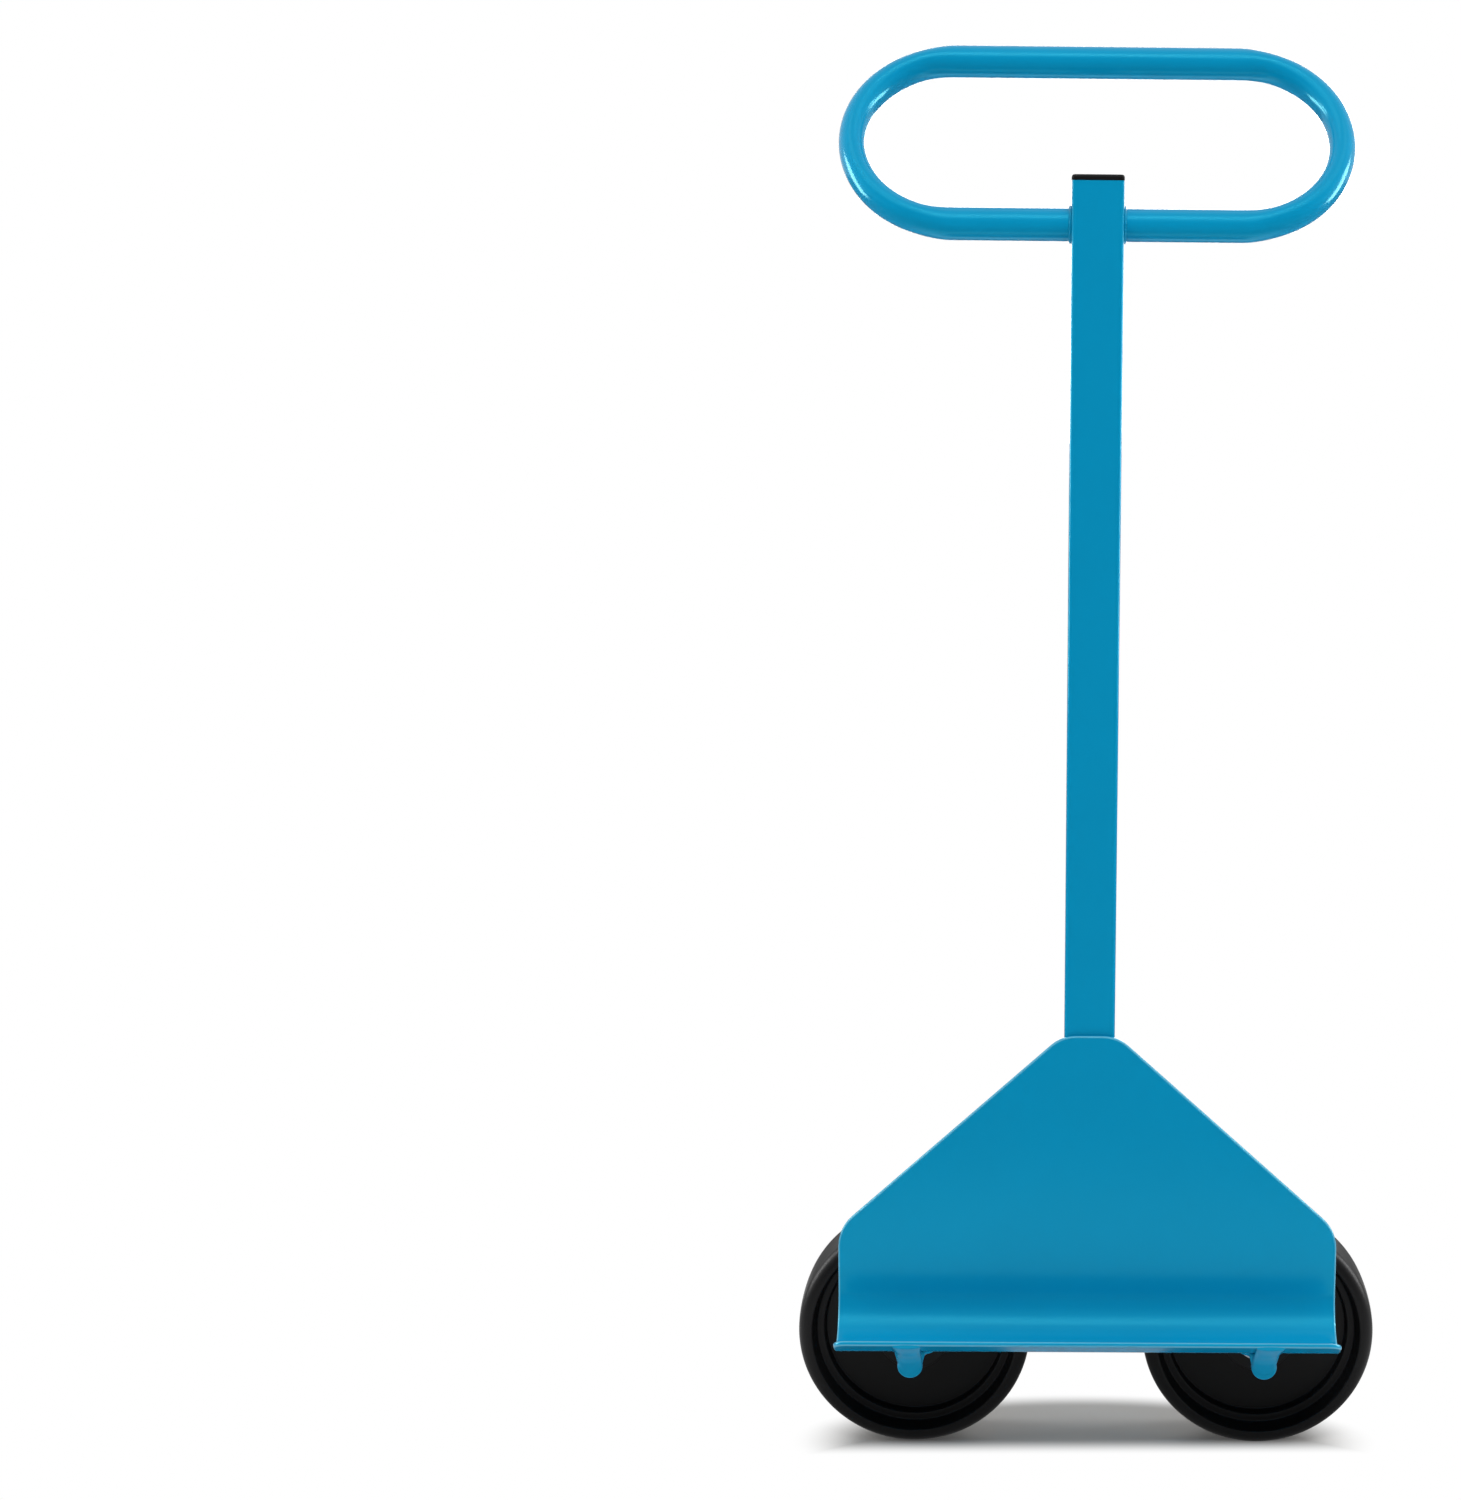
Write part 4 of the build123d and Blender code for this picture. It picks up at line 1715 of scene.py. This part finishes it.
@dataclass
class Studio:
    """White floor and surroundings, soft lamps and the camera."""

    target: Vector
    floor_radius: float = 9.0
    floor_facets: int = 96
    floor_colour: str = "#f2f2f2"
    # The camera sees the floor in this darker colour inside the shadow's oval: painted shade on top
    # of the cast shadow
    floor_painted_shade_colour: str = "#afadaa"
    floor_lift: float = 0.045
    # Glossy paint mirrors a floor that glows at set levels: a painted shade under the cart, the
    # white round it, and the dimmer floor further off, over these distances
    mirrored_shade: float = 0.25
    mirrored_white: float = 0.9
    mirrored_far: float = 0.15
    mirrored_shade_edge: Pair = (0.2, 0.4)
    mirrored_white_edge: Pair = (0.55, 0.9)
    # The camera sees the shadow in an oval, which fades to white over these shares of its
    # half axes, and in front of the wheels between these depths, along an edge that lies
    # level in the picture
    shadow_oval: Triple = (0.215, 0.088, 1.0)
    shadow_fade: Pair = (0.8, 1.13)
    shadow_front: Pair = (0.0042, -0.0286)
    shadow_way: Triple = (-0.0183, 1.0, 0.0)
    # Glossy paint mirrors a dim room in front and white cloth beside and above the cart,
    # which starts over these parts of a direction's Y and Z
    mirrored_room: Pair = (0.2, 0.75)
    cloth_beside: Pair = (-0.85, -0.15)
    cloth_above: Pair = (0.35, 0.8)
    ambient: float = 0.24
    frame_px: tuple[int, int] = (1461, 1500)
    view_centre_px: tuple[int, int] = (1085, 745)
    camera_place: Triple = (-32.15 * MM, -2268.13 * MM, 982.38 * MM)
    camera_azimuth: float = math.radians(-0.67)
    camera_elevation: float = math.radians(10.0)
    camera_roll: float = math.radians(0.56)
    lens_mm: float = 69.99
    sensor_mm: float = 36.0
    lamps: tuple[Lamp, ...] = (
        Lamp("key_softbox", 6.0, 58.0, 6.0, 2.6, 2.0, 0.72, mirrored=False),
        Lamp("left_softbox", -34.0, 58.0, 3.0, 2.0, 2.0, 0.09),
        Lamp("right_softbox", 34.0, 58.0, 3.0, 2.0, 2.0, 0.07),
        Lamp("left_strip_softbox", -100.0, 10.0, 2.4, 0.7, 1.5, 0.55),
        Lamp("right_strip_softbox", 100.0, 10.0, 2.4, 0.7, 1.5, 0.6),
        Lamp("back_softbox", 172.0, 12.0, 3.0, 2.0, 1.2, 0.55),
    )

    def build(self) -> None:
        """Build the world, floor, lamps and camera."""
        self.build_world()
        self.build_floor()
        for lamp in self.lamps:
            self.build_lamp(lamp)
        self.build_camera()
        bpy.context.scene.view_settings.view_transform = "Standard"

    def build_world(self) -> None:
        """White to the camera, even to matt surfaces, darker in front to glossy ones."""
        world = bpy.data.worlds.new("white_studio")
        bpy.context.scene.world = world
        add = partial(add_node, empty_tree(world))
        ray = add("ShaderNodeLightPath").outputs
        way = add("ShaderNodeTexCoord").outputs["Generated"]
        axes = add("ShaderNodeSeparateXYZ", {"Vector": way}).outputs
        beside, above = (
            add(
                "ShaderNodeMapRange",
                {"Value": axes[axis], "From Min": dim, "From Max": white},
                interpolation_type="SMOOTHSTEP",
            )
            for axis, (dim, white) in (("Y", self.cloth_beside), ("Z", self.cloth_above))
        )
        cloth = add("ShaderNodeMath", {0: beside, 1: above}, operation="MAXIMUM")
        mirrored = add(
            "ShaderNodeMapRange",
            {"Value": cloth, "To Min": self.mirrored_room[0], "To Max": self.mirrored_room[1]},
        )
        matt = add(
            "ShaderNodeMix",
            {0: ray["Is Glossy Ray"], NUMBER_A: self.ambient, NUMBER_B: mirrored},
            data_type="FLOAT",
        )
        seen = add(
            "ShaderNodeMix",
            {0: ray["Is Camera Ray"], NUMBER_A: matt, NUMBER_B: 1.0},
            data_type="FLOAT",
        )
        light = add("ShaderNodeBackground", {"Color": linear("#ffffff"), "Strength": seen})
        add("ShaderNodeOutputWorld", {"Surface": light})

    def build_floor(self) -> None:
        """Round floor that takes the shadow and fades into the white surroundings."""
        around = directions(0.0, math.tau, self.floor_facets)[:-1]
        points = [(self.floor_radius * x, self.floor_radius * y, 0.0) for x, y in around]
        floor = mesh_object("studio_floor", points, [range(self.floor_facets)])
        floor.data.materials.append(self.floor_material())

    def floor_material(self) -> bpy.types.Material:
        """Make the pale matt floor paint, white to the camera away from the shadow.

        Returns:
            The material.
        """
        paint = bpy.data.materials.new("pale_matt_floor_paint")
        add = partial(add_node, empty_tree(paint))
        ray = add("ShaderNodeLightPath").outputs
        place = add("ShaderNodeTexCoord").outputs["Object"]
        away = add("ShaderNodeVectorMath", {0: place}, operation="LENGTH")
        oval = add("ShaderNodeVectorMath", {0: place, 1: self.shadow_oval}, operation="DIVIDE")
        outward = add("ShaderNodeVectorMath", {0: oval}, operation="LENGTH")
        depth = add(
            "ShaderNodeVectorMath", {0: place, 1: self.shadow_way}, operation="DOT_PRODUCT"
        )
        round_edge, front_edge, white_part, far_part = (
            add(
                "ShaderNodeMapRange",
                {
                    "Value": measure.outputs["Value"],
                    "From Min": start,
                    "From Max": end,
                    "To Min": first,
                    "To Max": last,
                },
                interpolation_type="SMOOTHSTEP",
            )
            for measure, (start, end), first, last in (
                (outward, self.shadow_fade, 0.0, 1.0),
                (depth, self.shadow_front, 0.0, 1.0),
                (away, self.mirrored_shade_edge, self.mirrored_shade, self.mirrored_white),
                (away, self.mirrored_white_edge, self.mirrored_white, self.mirrored_far),
            )
        )
        clear = add("ShaderNodeMath", {0: round_edge, 1: front_edge}, operation="MAXIMUM")
        # Inside the oval the camera sees the floor in a darker colour, which is painted shade
        matt, painted_shade_floor = (
            add("ShaderNodeBsdfDiffuse", {"Color": linear(colour)})
            for colour in (self.floor_colour, self.floor_painted_shade_colour)
        )
        # To glossy rays the floor glows, with a painted shade under the cart
        level = add("ShaderNodeMath", {0: white_part, 1: far_part}, operation="MINIMUM")
        lift, white, mirrored = (
            add("ShaderNodeEmission", {"Strength": strength})
            for strength in (self.floor_lift, 1.0, level)
        )
        near = add("ShaderNodeAddShader", {0: painted_shade_floor, 1: lift})
        seen = add("ShaderNodeMixShader", {0: clear, 1: near, 2: white})
        lit = add("ShaderNodeMixShader", {0: ray["Is Camera Ray"], 1: matt, 2: seen})
        shown = add("ShaderNodeMixShader", {0: ray["Is Glossy Ray"], 1: lit, 2: mirrored})
        add("ShaderNodeOutputMaterial", {"Surface": shown})
        return paint

    def build_lamp(self, lamp: Lamp) -> None:
        """Set up one softbox, turned to the cart.

        Args:
            lamp: The softbox.
        """
        light = bpy.data.lights.new(lamp.name, "AREA")
        light.shape = "RECTANGLE"
        light.size = lamp.width
        light.size_y = lamp.height
        light.energy = lamp.power
        stand = add_object(lamp.name, light)
        stand.location = self.target + lamp.way * lamp.distance
        stand.rotation_euler = (-lamp.way).to_track_quat("-Z", "Y").to_euler()
        stand.visible_camera = False
        stand.visible_glossy = lamp.mirrored

    def build_camera(self) -> None:
        """Stand the camera where the photograph's front view was taken from."""
        lens = bpy.data.cameras.new("front_view")
        lens.lens = self.lens_mm
        lens.sensor_width = self.sensor_mm
        (wide, high), (view_x, view_y) = self.frame_px, self.view_centre_px
        lens.shift_x = (wide / 2 - view_x) / max(wide, high)
        lens.shift_y = (view_y - high / 2) / max(wide, high)
        camera = add_object("front_view", lens)
        back = bearing(self.camera_azimuth, self.camera_elevation)
        right = Vector((math.cos(self.camera_azimuth), math.sin(self.camera_azimuth), 0.0))
        level = Matrix((right, back.cross(right), back)).transposed()
        turned = level @ Matrix.Rotation(self.camera_roll, 3, "Z")
        camera.matrix_world = Matrix.Translation(self.camera_place) @ turned.to_4x4()
        bpy.context.scene.camera = camera


def main() -> None:
    """Build the cart's looks, piece by piece, then the studio."""
    logging.basicConfig(level=logging.INFO, format="%(name)s: %(message)s")
    Post().build()
    LoopHandle().build()
    CarrierPlate().build()
    WeldSeams().build()
    for side in Side:
        WheelUnit(side).build()
    Studio(target=(CAD_BOX[0] + CAD_BOX[1]) / 2).build()


if __name__ == "__main__":
    main()
